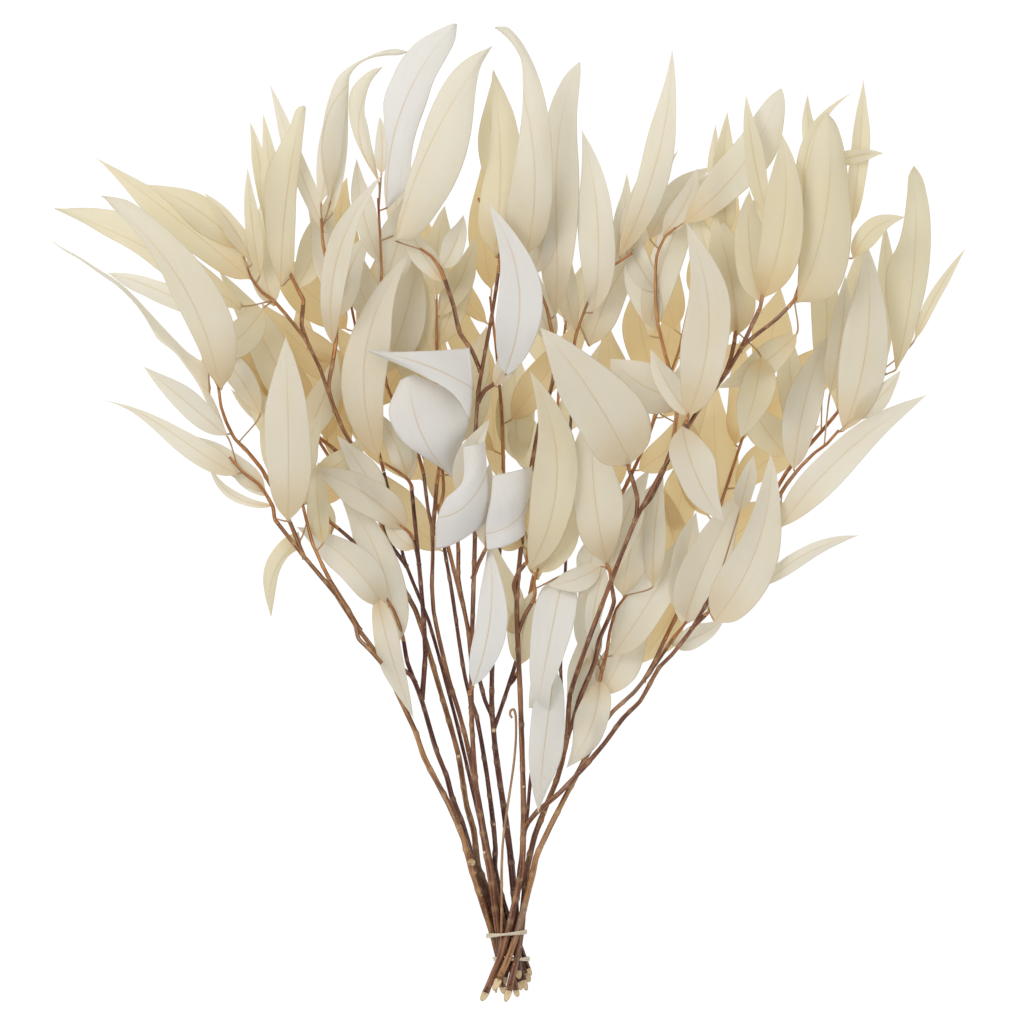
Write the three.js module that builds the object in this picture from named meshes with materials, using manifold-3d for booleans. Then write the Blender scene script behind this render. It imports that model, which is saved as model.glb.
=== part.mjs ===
// A tied bunch of dried, bleached eucalyptus, lying on a flat surface.
//
// The bunch lies along Y: the cut ends of the stems point to -Y and the leaf tips fan out to +Y.
// +Z is up, away from the surface. All sizes are in millimetres.
//
// The brown stems cross at the tie as a loose twisted sheaf. Each stem keeps its forks, and at the end of a
// stem or a fork grows a leafy spray: one pale twig with its leaves. A leaf is a thin curved blade with a
// petiole that is rooted in its twig. Where two leaves share a place in the plan, they are eased apart in
// height, as dry leaves settle on each other.

import * as THREE from 'three';
import Module from 'manifold-3d';

const wasm = await Module();
wasm.setup();

// The tie and the waist of the sheaf
const WAIST_Y = -260;
const WAIST_HEIGHT = 16.3;
const SHEAF_TOP = -215;
const SHEAF_STEP = 15;
const TWIST_ACROSS = 0.04;
const TWIST_UP = 0.02;
const SPLAY = 0.01;
const LEAN = 0.11;
const RISE = 0.2;
const TIE_UPPER_Y = -254.5;
const TIE_LOWER_Y = -270;
const TIE_GAP = 0.4;
const TIE_THICK = 1.1;
const TIE_WIDE = 2.6;
const TIE_SLANT = 0.11;
const TIE_SIDES = 16;
const TIE_REACH = 11;
const TIE_LEAN = 1.08;

// Wood
const STEM_SIDES = 5;
const FORK_SIDES = 4;
const LONG_FORK = 8;
const LONG_FORK_RADIUS = 1.7;
const TWIG_RADIUS = [1.35, 1];
const STRAIGHT_ENOUGH = 0.5;
const JOINT_GAP = 0.3;
const JOINT_RUN = 3;

// Leaves
const BLADE_THICK = 0.7;
const PETIOLE_WIDE = 0.85;
const BLADE_START = 2.2;
const SHORT_STALK = 9;
const LONG_LEAF = 72;
const LONG_STATIONS = [0.18, 0.42, 0.66, 0.86, 1];
const SHORT_STATIONS = [0.26, 0.62, 1];
const POINTED = 0.5;
// Width along a leaf: the powers of its rise from the base and of its fall to the tip, and the least share of it
const OUTLINES = {
  willow: { rise: 0.6, fall: 0.9, least: 0 },
  strip: { rise: 0.1, fall: 0.1, least: 0.85 },
  bract: { rise: 0.32, fall: 0.8, least: 0.5 },
  broad: { rise: 0.32, fall: 0.8, least: 0 },
  wedge: { rise: 0.15, fall: 1, least: 0 },
  early: { rise: 0.5, fall: 1.5, least: 0 },
  taper: { rise: 0.5, fall: 1.15, least: 0 },
  full: { rise: 0.6, fall: 0.5, least: 0 },
};
const ARCH = 0.05;
const ROLL_SPREAD = 0.5;
const PULL_BACK = 0.55;
const FLOOR = 0.75;
const SEED = 20771;

// Settling of the leaves on each other
const ROUNDS = 260;
const LEAF_CLEAR = 2.3;
const WOOD_CLEAR = 1.5;
const SOFTEN = 0.12;

const BARK = { dark: 0x553227, brown: 0x7a4a30, tan: 0x9c6b45, pale: 0xb98f68 };
const LEAF_COLOUR = { front: 0xece4d2, middle: 0xe6d9b8, back: 0xd9c08a };
const TIE_COLOUR = 0xd9cbb2;

// The stems. waist: place at the tie, across and up. radius: at the tie and at the far end.
// path: centre line above the sheaf, [x, y, z]. forks: side branches, which start inside the stem.
const STEMS = [
  {
    waist: [-8.8, -8.0], radius: [2.3, 1.4], butt: -272, bark: 'tan',
    path: [[-28, -197, 28], [-36, -178, 33], [-44, -162, 38], [-52, -147, 43], [-57, -132, 47], [-63, -119, 50],
      [-78, -88, 60], [-92, -69, 68], [-105, -49, 75], [-125, -25, 84], [-139, -7, 92]],
    forks: {
      drooping: [[-93, -67, 68.5], [-91, -76, 70], [-84, -83, 71], [-77, -91, 71]],
      inner: [[-123, -28, 83], [-127, -18, 84], [-132, -6, 86]],
      short: [[-90, -71, 67.5], [-98, -57, 74], [-108, -41, 80]],
    },
  },
  {
    waist: [-3.9, -10.0], radius: [2.2, 1.3], butt: -285, bark: 'dark',
    path: [[-24, -205, 18.5], [-29, -187, 21], [-35, -172, 24], [-38, -160, 27], [-44, -145, 30], [-50, -125, 34],
      [-54, -111, 36.5], [-59, -99, 40], [-68, -92, 45], [-73, -84, 48], [-76, -74, 51], [-81, -56, 56],
      [-89, -34, 62], [-94, -18, 67], [-103, -10, 71]],
    forks: {
      inner: [[-57, -103, 38.5], [-62, -90, 41], [-64, -78, 43]],
      upright: [[-53, -113, 36], [-52, -98, 38.5], [-51, -85, 41], [-51.5, -70, 44], [-52.5, -57, 47],
        [-54, -42, 50], [-55, -28, 53], [-57, -10, 57], [-59, 13, 62]],
      leafy: [[-54.7, -32, 52], [-56, -24, 56], [-58, -17, 59]],
    },
  },
  {
    waist: [1.2, -11.3], radius: [2.3, 1.2], butt: -280, bark: 'tan',
    path: [[-20, -205, 12.5], [-22, -192, 14], [-26, -178, 16], [-28.5, -165, 18], [-31, -147, 21],
      [-36, -130, 24], [-42, -108, 28], [-52, -76, 35], [-57, -59, 39], [-64, -46, 43], [-70, -29, 48],
      [-77, -8, 54], [-86, 20, 61], [-94, 39, 66], [-100, 49, 69], [-107, 66, 73], [-114, 86, 78],
      [-123, 104, 82], [-134, 118, 86]],
    forks: {
      low: [[-84, 14, 59.5], [-95, 28, 59], [-106, 38, 59]],
      middle: [[-105, 60, 71.5], [-109, 74, 77], [-106, 92, 84]],
      high: [[-120, 98, 80.5], [-125, 112, 84], [-124, 124, 87]],
    },
  },
  {
    waist: [5.6, -9.9], radius: [1.5, 1.1], butt: -277, bark: 'dark',
    path: [[-15, -200, 10], [-18, -188, 11], [-22, -172, 12], [-25, -158, 13], [-29, -142, 14.5],
      [-32, -128, 16], [-38, -106, 19], [-44, -84, 22], [-49, -66, 24], [-56, -47, 27], [-64, -28, 30],
      [-70, 0, 32], [-76, 24, 33]],
    forks: {
      back: [[-62, -33, 29], [-72, -20, 25], [-84, -4, 21]],
    },
  },
  {
    waist: [-1.5, -5.5], radius: [2.0, 1.2], butt: -290, bark: 'brown',
    path: [[-14, -200, 21], [-17, -185, 22.5], [-20, -168, 24.5], [-24, -148, 27], [-27, -135, 29],
      [-31, -120, 31], [-36, -104, 34], [-43, -75, 39], [-46, -60, 42], [-47, -45, 44], [-46.5, -25, 47],
      [-47, -8, 50], [-49, 0, 52], [-52, 23, 57]],
    forks: {
      front: [[-46.6, -14, 49], [-45.5, -2, 53], [-44, 17, 60]],
    },
  },
  {
    waist: [-6.3, -3.5], radius: [2.2, 1.2], butt: -288, bark: 'brown',
    path: [[-15, -203, 28], [-17, -190, 31], [-19, -175, 35], [-21, -160, 39], [-22, -145, 43],
      [-23, -128, 47], [-23.3, -110, 52], [-23.2, -90, 57], [-23, -70, 61], [-22.5, -50, 65], [-22, -35, 68],
      [-21, -13, 72], [-21, 12, 77], [-21, 41, 82], [-19, 72, 88], [-14, 101, 93], [-10, 123, 97],
      [-7, 143, 100]],
    forks: {
      left: [[-23.3, -90, 57], [-25, -72, 61], [-28, -58, 64], [-31, -40, 68], [-31, -24, 72]],
      right: [[-22.3, -40, 67], [-19, -31, 71], [-15.5, -24, 75]],
      upper: [[-17.5, 84, 90], [-23, 97, 92], [-30, 107, 93], [-34, 124, 95], [-39, 139, 97]],
      front: [[-19.3, 66, 87], [-15, 73, 92], [-9, 77, 97]],
    },
  },
  {
    waist: [3.0, -6.8], radius: [2.0, 1.2], butt: -284, bark: 'dark',
    path: [[-8.8, -203, 16], [-10, -190, 18], [-12, -175, 20.5], [-14, -158, 23.5], [-17, -140, 27],
      [-20.5, -122, 30.5], [-24, -112, 32], [-27, -100, 34], [-30, -80, 38], [-33, -60, 42], [-36, -42, 45],
      [-39, -25, 49], [-42, -4, 53]],
    forks: {},
  },
  {
    waist: [5.0, -2.2], radius: [2.5, 1.3], butt: -278, bark: 'dark',
    path: [[0, -205, 18], [-2, -190, 19], [-5, -172, 20.5], [-7, -158, 21.5], [-9, -142, 22.5],
      [-11, -119, 24.5], [-11, -98, 26], [-10, -70, 28], [-8, -50, 30], [-6, -20, 32], [-4, 12, 35]],
    forks: {
      left: [[-10.6, -124, 24], [-15, -114, 25], [-18, -103, 26.5], [-22, -85, 28], [-28, -58, 27]],
      right: [[-10, -132, 23.3], [-6, -121, 25], [-2, -108, 27], [2, -96, 29], [8, -75, 31], [12, -50, 33]],
    },
  },
  {
    waist: [-5.2, 0.1], radius: [0.9, 0.8], butt: -289, bark: 'pale',
    path: [[-4.6, -203, 30], [-3, -185, 33], [-1, -165, 36], [1, -148, 39], [3, -130, 42], [3.4, -122, 43.3],
      [2.2, -118.6, 44], [0.4, -119.4, 44.4], [0, -122, 44.8], [1.2, -124, 45.2]],
    forks: {},
  },
  {
    waist: [-2.7, 5.5], radius: [2.3, 1.3], butt: -291, bark: 'brown',
    path: [[7.5, -200, 34], [8.2, -180, 37.5], [8, -165, 40.5], [7.2, -150, 43.5], [7.3, -135, 46.5],
      [6.5, -119, 49.5], [5.5, -100, 53], [5, -85, 56], [4.5, -65, 60], [4, -50, 63], [5.5, -35, 66],
      [7, -17, 69], [9.5, 5, 73], [13, 27, 77], [15.5, 42, 80], [18, 54, 82], [23, 68, 85], [26, 80, 87],
      [26, 93, 89]],
    forks: {
      outer: [[7.9, -193, 35.5], [11, -187, 37.2], [16, -181, 38.8], [22, -176, 40.3], [30, -169, 42.5],
        [38, -161, 45], [46, -152, 47], [57, -139, 51], [68, -124, 55], [78, -114, 58.5], [90, -93, 64],
        [97, -86, 67], [108, -72, 71], [121, -50, 77], [138, -25, 82], [152, -4, 86], [161, 9, 89]],
      low: [[5, -72, 59], [9, -62, 62], [13, -55, 65]],
      loop: [[4, -52, 62.5], [2.2, -44, 66], [4.5, -37, 69.5], [8.5, -32, 72]],
    },
  },
  {
    waist: [1.9, 2.1], radius: [1.4, 1.0], butt: -282, bark: 'dark',
    path: [[8, -200, 25.5], [10, -186, 26.5], [11.5, -170, 28], [14, -150, 30], [20, -135, 33], [27, -122, 36],
      [31, -110, 38.5], [30.5, -95, 41], [31, -78, 44], [33, -50, 49], [34, -20, 54], [35, 20, 62],
      [37, 60, 71], [38.5, 98, 80]],
    forks: {
      back: [[32.5, -58, 47.5], [40, -40, 44], [50, -20, 42]],
    },
  },
  {
    waist: [6.0, 2.4], radius: [2.2, 1.3], butt: -290, bark: 'brown',
    path: [[12.5, -205, 22.5], [15, -195, 24.5], [18, -187, 26], [21.5, -178, 28], [24, -172, 30],
      [28, -162, 33], [31, -152, 37], [34, -138, 43], [36, -110, 55], [40, -97, 61], [45, -83, 68],
      [50, -70, 74], [55, -55, 80], [60, -43, 85], [65, -30, 89], [70, -18, 93], [75, -5, 97], [81, 6, 100],
      [88, 18, 104], [93, 28, 107], [98, 37, 110], [104, 47, 113], [112, 60, 116], [122, 73, 119],
      [130, 84, 121], [139, 99, 124], [150, 108, 126], [160, 116, 128], [166, 122, 129.5]],
    forks: {
      inner: [[34.3, -136, 44], [38, -126, 45.5], [42, -112, 50], [46, -102, 53], [51, -90, 57], [54, -76, 61],
        [60, -62, 66], [62.5, -54, 69], [61, -44, 72]],
      left: [[75.5, -4, 97.2], [76.3, 8, 101], [73.5, 18, 106], [71.5, 25, 110]],
      right: [[77, 0, 98], [84, 8, 96], [90, 20, 97], [96, 36, 99]],
      crest: [[101, 41.5, 111.5], [104, 49, 117], [105, 53, 119.5]],
      back: [[128, 81, 120.5], [132, 92, 119], [134, 101, 117]],
      tall: [[137, 95.5, 123], [143, 108, 127.5], [148, 119, 131]],
    },
  },
  {
    waist: [2.6, 6.5], radius: [2.3, 1.3], butt: -283, bark: 'tan',
    path: [[15.5, -209, 29.5], [20, -198, 31.5], [24, -190, 33], [30, -179, 35.5], [35, -169, 37.5],
      [39, -160, 39.5], [44, -151, 41.5], [50, -140, 44], [53, -132, 46], [62, -120, 49], [75, -108, 53.5],
      [83, -98, 57], [92, -85, 61], [98, -76, 64]],
    forks: {
      thin: [[52, -134, 45.6], [52.5, -120, 48], [53, -108, 50]],
    },
  },
];

// The sprays. grows: stem number and fork. twig: centre line past the joint. leaves: see leafFrom.
// Leaf rows: base x, base y, tip x, tip y, width, bend to the left, rise from base to tip, then options.
const SPRAYS = [
  {
    grows: [1, 'tip'], tone: 'front',
    twig: [[-142, 3, 95], [-147, 12, 97], [-151, 17, 98], [-160, 24, 100], [-168, 33, 101]],
    leaves: [
      [-133, -5, -134, 105, 30, -1, 22, { up: 8 }],
      [-142, 4, -182, 32, 5.5, 9, -20],
      [-146, 10, -171, 30, 7, 1, -12],
      [-147, 13, -193, 46, 14, -2, -6],
      [-164, 23, -244, 67, 14, -3, 4, { skew: 1.5, outline: 'early' }],
      [-170, 46, -219, 87, 15, 0, 12],
    ],
  },
  {
    grows: [1, 'inner'], tone: 'front',
    twig: [[-140, 10, 87], [-149, 26, 88], [-158, 37, 90], [-165, 44, 93], [-170, 54, 95], [-173, 63, 97],
      [-175, 76, 99], [-182, 87, 99]],
    leaves: [
      [-171, 47, -217, 113, 11, -8, -8],
      [-172, 74, -246, 190, 32, -11, 26, { up: 8, arch: 0.1, outline: 'taper' }],
      [-186, 90, -273, 162, 9, 2, -6, { roll: 0.9 }],
      [-185, 112, -240, 143, 14, -2, -16],
      [-150, 60, -196, 116, 16, -4, -24],
    ],
  },
  {
    grows: [1, 'short'], tone: 'middle',
    twig: [[-112, -33, 83], [-118, -20, 84], [-122, -6, 84], [-126, 10, 84], [-132, 26, 83]],
    leaves: [
      [-122, -20, -145, -62, 14, -9, -18, { from: [-122, -6] }],
      [-122, 6, -150, 52, 16, 3, -8],
      [-126, 18, -112, 60, 16, 3, -6],
      [-133, 30, -160, 78, 16, -2, -4],
      [-112, -18, -115, 30, 14, 2, -4],
    ],
  },
  {
    grows: [2, 'tip'], tone: 'middle',
    twig: [[-108, -6, 72], [-113, 4, 73], [-119, 16, 73], [-126, 30, 72], [-132, 44, 71]],
    leaves: [
      [-108, -14, -126, 22, 13, -2, -10],
      [-119, 20, -84, 48, 14, -3, -6],
      [-127, 55, -175, 145, 22, -4, -6],
      [-132, 48, -162, 80, 13, 2, -8],
      [-133, 46, -168, 74, 9, 2, -18],
      [-126, 42, -104, 96, 18, -3, -10],
    ],
  },
  {
    grows: [2, 'inner'], tone: 'front',
    twig: [[-66, -70, 46], [-70, -59, 51], [-77, -48, 57]],
    leaves: [
      [-80, -50, -58, -124, 15, -2, -6, { up: 4 }],
      [-69, -80, -104, 14, 24, -9, 10, { from: [-66, -74] }],
      [-76, -57, -128, -9, 23, -6, 16, { up: 7 }],
    ],
  },
  {
    grows: [2, 'leafy'], tone: 'front',
    twig: [[-60, -13, 61], [-66, -8, 63], [-74, -2, 65]],
    leaves: [
      [-63, -10, -120, 26, 22, -5, 12],
      [-58, -22, -76, -2, 11, 2, -4, { from: [-60, -13] }],
      [-76, 2, -104, 46, 16, -2, 6],
    ],
  },
  {
    grows: [2, 'upright'], tone: 'front',
    twig: [[-61, 19, 64], [-67, 24, 68], [-75, 29, 73]],
    leaves: [
      [-79, 33, -60, 155, 26, 17, 16, { up: 4 }],
      [-62, 22, -80, 60, 14, -2, 4],
      [-60, 20, -58, 66, 12, 2, 0],
    ],
  },
  {
    grows: [3, 'low'], tone: 'back',
    twig: [[-116, 46, 58], [-126, 53, 57], [-138, 62, 56]],
    leaves: [
      [-126, 56, -168, 110, 20, -3, -10],
      [-118, 50, -136, 104, 18, 3, -12],
      [-110, 44, -100, 92, 16, 3, -6],
      [-139, 66, -188, 116, 16, -3, -6],
    ],
  },
  {
    grows: [3, 'middle'], tone: 'front',
    twig: [[-104, 104, 88], [-105, 122, 91], [-108, 142, 93], [-112, 160, 95], [-113, 176, 96]],
    leaves: [
      [-106, 101, -76, 202, 15, 12, 22, { up: 10 }],
      [-108, 187, -62, 275, 15, 23, 8, { skew: 0.4 }],
      [-113, 186, -104, 258, 12, -1, 4],
      [-106, 180, -96, 264, 11, 2, 0],
      [-111, 168, -144, 257, 11, 1, -8],
      [-106, 128, -122, 190, 16, -3, -10],
      [-104, 116, -84, 168, 18, 3, -8],
    ],
  },
  {
    grows: [3, 'high'], tone: 'middle',
    twig: [[-127, 133, 90], [-132, 143, 92], [-140, 154, 94], [-144, 168, 95]],
    leaves: [
      [-139, 140, -121, 245, 20, 4, 8, { outline: 'full' }],
      [-143, 158, -148, 239, 11, -2, 2],
      [-147, 178, -156, 234, 9, -2, -2],
      [-128, 134, -106, 196, 18, -3, -10],
      [-142, 166, -133, 212, 12, -2, -8],
    ],
  },
  {
    grows: [3, 'tip'], tone: 'middle',
    twig: [[-142, 127, 88], [-149, 132, 90], [-155, 140, 91], [-160, 152, 92]],
    leaves: [
      [-162, 122, -273, 182, 24, -5, -4],
      [-156, 140, -249, 213, 22, -1, 6, { outline: 'taper' }],
      [-161, 158, -217, 196, 18, -4, 6],
      [-154, 150, -183, 191, 11, -2, 10],
      [-150, 142, -157, 206, 10, 1, 14],
      [-142, 124, -150, 184, 20, 3, -8],
      [-148, 122, -188, 88, 20, 4, -8, { from: [-142, 127] }],
    ],
  },
  {
    grows: [5, 'tip'], tone: 'front',
    twig: [[-55, 34, 60], [-61, 48, 65], [-68, 62, 70], [-74, 76, 74], [-77, 94, 78], [-78, 118, 83],
      [-77, 146, 90], [-78, 170, 95], [-79, 188, 98]],
    leaves: [
      [-74, 183, -31, 292, 23, 9, 14, { skew: 0.5, outline: 'full' }],
      [-79, 198, -76, 266, 15, 14, 4, { outline: 'taper' }],
      [-77, 203, -78, 237, 10, -1, 0],
      [-76, 84, -56, 158, 24, -4, -10],
      [-78, 112, -100, 178, 20, 5, -8],
      [-77, 134, -60, 194, 23, -2, -6],
      [-78, 150, -92, 212, 14, 3, -4],
    ],
  },
  {
    grows: [5, 'front'], tone: 'front',
    twig: [[-43, 26, 64], [-41, 36, 69], [-37, 48, 74], [-32, 62, 78]],
    leaves: [
      [-39, 23, -53, 92, 38, 5, 14, { outline: 'broad', up: 10 }],
      [-18, 75, -84, 96.5, 30, -4, 10, { outline: 'wedge', up: 16 }],
    ],
  },
  {
    grows: [6, 'left'], tone: 'front',
    twig: [[-31.5, -15, 76], [-33, -4, 80], [-32, 10, 83]],
    leaves: [
      [-35, -18, -20, 45, 29, 1, 10, { outline: 'bract', up: 8, from: [-31.5, -12] }],
      [-31, 12, -12, 56, 14, 2, -2],
    ],
  },
  {
    grows: [6, 'right'], tone: 'front',
    twig: [[-14, -17, 79], [-13, -7, 83]],
    leaves: [
      [-3, -20, 2, 25, 25, 0, 6, { outline: 'strip', up: 6 }],
      [-15, -20, -12, 30, 13, 1, 2],
    ],
  },
  {
    grows: [7, 'tip'], tone: 'middle',
    twig: [[-40, 12, 54], [-42, 35, 58], [-44, 60, 63], [-44, 85, 67], [-44, 110, 70], [-44, 128, 73]],
    leaves: [
      [-44, 130, -39, 184, 18, 2, 2],
      [-42, 118, -20, 166, 15, -2, -4],
      [-46, 66, -72, 138, 20, 4, -10],
      [-45, 56, -14, 112, 22, -5, -10],
      [-45, 88, -58, 166, 22, 4, -8],
      [-44, 38, -12, 84, 18, -4, -6],
      [-45, 100, -24, 160, 18, -3, -8],
    ],
  },
  {
    grows: [6, 'upper'], tone: 'front',
    twig: [[-42, 146, 99], [-47, 153, 101], [-54, 158, 102]],
    leaves: [
      [-57, 161, -9, 280, 25, 8.5, 12, { up: 4, skew: 0.7 }],
      [-41, 146, -28, 178, 14, -2, -4],
      [-40, 138, -64, 178, 14, 2, -6],
    ],
  },
  {
    grows: [6, 'front'], tone: 'front',
    twig: [[-5, 80, 100], [-2, 83, 102]],
    leaves: [
      [-4, 81, -13, 184, 25, -14, 14, { up: 6 }],
      [-9, 76, 4, 118, 14, -3, 0],
    ],
  },
  {
    grows: [6, 'tip'], tone: 'middle',
    twig: [[-6, 152, 101], [-8, 163, 102], [-13, 176, 102], [-19, 188, 101]],
    leaves: [
      [-9, 153, -10, 265, 20, -3, 2],
      [-12, 196, -9, 264, 13, 1, -4],
      [-7, 150, 14, 208, 16, -3, -6],
    ],
  },
  {
    grows: [10, 'tip'], tone: 'front',
    twig: [[25.5, 106, 92], [22, 122, 95], [16, 137, 98], [11, 148, 100]],
    leaves: [
      [10, 153, -8, 289, 23, -12.5, 16, { up: 4, skew: 0.9 }],
      [27, 118, 42, 270, 25, 7, -4, { skew: 1, outline: 'full' }],
      [14, 142, 27, 206, 18, -2, -8],
      [26, 102, 14, 150, 16, 3, -8],
    ],
  },
  {
    grows: [10, 'low'], tone: 'middle',
    twig: [[15, -50, 67], [14.5, -42, 70], [17, -34, 73]],
    leaves: [
      [12, -34, 11.5, 85, 26.5, -16.5, 26, { up: 6 }],
      [17, -36, 40, 12, 18, -4, 4],
      [17, -40, 13, 8, 13, 2, -2],
      [31, -40, 15.5, -120, 25, 0, -4, { from: [15, -46], up: 3, outline: 'bract' }],
      [27, -95, 17, -181, 22, -1, -16, { from: [14, -52], up: -3 }],
    ],
  },
  {
    grows: [10, 'loop'], tone: 'back',
    twig: [[10, -27, 74], [12, -18, 76]],
    leaves: [
      [7, -20, -11, -6, 13, 2, -4],
      [13, -12, 14, 28, 10, 2, 0],
      [9, -12, -7, 26, 14, 4, -8],
    ],
  },
  {
    grows: [6, 'mid'], tone: 'front',
    twig: [[-24, -108, 59], [-22, -105, 62]],
    leaves: [
      [-22, -104, -13, -18, 19, -6, 8, { up: 2 }],
    ],
  },
  {
    grows: [8, 'right'], tone: 'middle',
    twig: [[14, -40, 34], [20, -15, 35], [24, 15, 36], [28, 50, 36], [30, 85, 36], [34, 118, 37]],
    leaves: [
      [20, -14, 46, 44, 20, -4, -6],
      [24, 20, 2, 72, 20, 4, -8],
      [28, 48, 56, 104, 20, -4, -8],
      [30, 82, 12, 140, 20, 4, -6],
      [34, 116, 28, 190, 18, 3, 4],
      [34, 110, 56, 168, 20, -3, -6],
    ],
  },
  {
    grows: [8, 'stub'], tone: 'middle',
    twig: [[5, -94, 33], [6.5, -86, 34], [8, -78, 35]],
    leaves: [
      [6, -92, 15, -46, 18, 2, 2, { from: [5, -94] }],
      [7, -74, -10, -16, 20, 4, 2],
    ],
  },
  {
    grows: [11, 'tip'], tone: 'front',
    twig: [[39.5, 106, 84], [44, 118, 87], [50, 133, 91], [56, 141, 93], [61, 147, 95], [67, 151.5, 97],
      [73, 155, 99]],
    leaves: [
      [66, 154, 97, 277, 18, -7.5, 6],
      [50, 120, 43, 229, 22, -6, 4],
      [39, 110, 28, 192, 15, 3, -8],
      [62, 150, 70, 203, 10, -2, -8],
      [70, 156, 86, 213, 13, 2, -4],
      [48, 100, 84, 170, 23, 4, -14, { from: [42, 112] }],
      [74, 158, 101, 217, 8, 3, -10],
    ],
  },
  {
    grows: [12, 'left'], tone: 'front',
    twig: [[70.5, 28, 113], [69, 32, 115]],
    leaves: [
      [72, 29, 18, 110, 41, -4, 12, { outline: 'broad', up: 3 }],
      [72, 27, 44, 78, 20, 2, -12],
    ],
  },
  {
    grows: [12, 'right'], tone: 'front',
    twig: [[98, 48, 99], [100, 62, 99], [97, 80, 98], [92, 98, 97], [88, 116, 97], [87, 136, 98],
      [88, 154, 100], [93, 165, 104], [99, 170, 108]],
    leaves: [
      [101, 68, 60, 92, 33, 4, 4],
      [84, 106, 124, 207, 20, 9, -6],
      [104, 173, 162, 253, 25, -8, 20, { outline: 'full' }],
      [88, 110, 74, 168, 18, 3, -4],
      [90, 60, 120, 110, 20, -4, -10],
      [88, 132, 66, 178, 16, 3, -6],
      [92, 166, 112, 206, 14, -3, -4],
    ],
  },
  {
    grows: [12, 'crest'], tone: 'front',
    twig: [[106, 57, 121], [107, 60, 122]],
    leaves: [
      [106, 57, 105, 173, 28, -13, 12, { up: 2 }],
      [103, 51, 128, -6, 25, -4, -8, { from: [106, 57] }],
      [107, 58, 84, 98, 14, 2, -8],
    ],
  },
  {
    grows: [12, 'back'], tone: 'middle',
    twig: [[135, 109, 115], [134, 122, 113], [132, 138, 112], [130, 154, 112], [129, 168, 112]],
    leaves: [
      [136, 106, 121, 180, 27, -3, -2],
      [130, 166, 130, 239.5, 14, 2, 0],
      [128, 172, 123, 232, 10, 2, -4],
      [134, 124, 112, 184, 18, 4, -8],
      [133, 134, 150, 196, 18, -3, -8],
      [150, 92, 138, 44, 22, 2, -10, { from: [135, 109] }],
    ],
  },
  {
    grows: [12, 'tall'], tone: 'middle',
    twig: [[150, 125, 132], [152, 138, 132], [153, 156, 132], [154, 172, 131]],
    leaves: [
      [151, 128, 162, 226, 27, -7, 4, { up: 3 }],
      [149, 126, 143, 192, 21, 3, -6],
      [154, 176, 141, 249, 12, 2, 0],
    ],
  },
  {
    grows: [12, 'tip'], tone: 'middle',
    twig: [[170, 127, 130], [173, 136, 129], [180, 150, 128], [190, 160, 127], [200, 167, 126]],
    leaves: [
      [171, 130, 188, 240, 34, -6, 10],
      [173, 142, 204, 250, 11, 14, 12, { skew: 0.9 }],
      [184, 196, 178, 250, 9, 2, -6],
      [204, 172, 211, 258, 12, -1, 4],
      [191, 207, 223, 214, 9, 2, 6, { from: [190, 160] }],
      [205, 152, 236, 176, 13, 6, 4],
      [171, 106, 124, 74, 17, 3, -22, { from: [170, 127], up: -6 }],
    ],
  },
  {
    grows: [10, 'outer'], tone: 'front',
    twig: [[166, 17, 91], [174, 27, 92], [182, 35, 94], [190, 41, 95], [197, 49, 96]],
    leaves: [
      [162, -9, 249.5, 70, 21, 7, 10],
      [200, 49, 212, 163, 27, -8, 14],
      [192, 72, 201, 142, 16, -2, -4],
      [170, 26, 190, 106, 21, 3, -12],
      [206, 56, 234, 85, 12, -2, 2],
    ],
  },
  {
    grows: [10, 'outback'], tone: 'middle',
    twig: [[166, 24, 82], [178, 38, 81], [190, 52, 81], [200, 64, 82], [212, 76, 83], [226, 83, 84]],
    leaves: [
      [231, 86, 243, 207, 28, -2, 10],
      [243, 104, 273, 158, 7, 2, 4],
      [205, 80, 212, 162, 18, 3, -6],
      [221, 84, 225, 174, 14, -2, -2],
      [188, 86, 186, 158, 20, -3, -10, { from: [186, 50] }],
      [178, 44, 168, 110, 20, 4, -10],
      [166, 34, 142, 70, 20, 2, -10],
      [196, 62, 176, 118, 16, 3, -8],
    ],
  },
  {
    grows: [10, 'outfront'], tone: 'front',
    twig: [[119, -60, 79], [120, -57, 80]],
    leaves: [
      [123, -65, 156, 35, 28, -10, 14, { up: 5, outline: 'broad' }],
      [152, -44, 209, -14, 10, 5, 4, { from: [120, -57] }],
      [138, 2, 146, 34, 12, 0, 4, { from: [120, -57] }],
    ],
  },
  {
    grows: [13, 'tip'], tone: 'front',
    twig: [[102, -71, 66], [106, -66, 69]],
    leaves: [
      [104, -68, 141, 15, 27, 3, 8, { up: 1 }],
      [107, -64, 112, 0, 22, 4, -8],
      [98, -80, 129, -64, 13, -2, 0, { from: [99, -74], up: -4 }],
    ],
  },
  {
    grows: [12, 'inner'], tone: 'front',
    twig: [[60, -36, 75], [58, -31, 78]],
    leaves: [
      [58, -30, 50, 66, 30, 4, 16, { up: 4 }],
      [61, -38, 84, 26, 20, 4, 4],
      [57, -34, 50, -84, 12, -3, -14],
      [54, -33, 23, -44, 15, 2, -6],
      [51, -14, 41, -50, 16, 2, -8, { from: [58, -31] }],
    ],
  },
  {
    grows: [13, 'thin'], tone: 'front',
    twig: [[55, -97, 52], [58, -85, 55], [60, -72, 58], [64, -58, 62], [70, -50, 64]],
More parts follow.
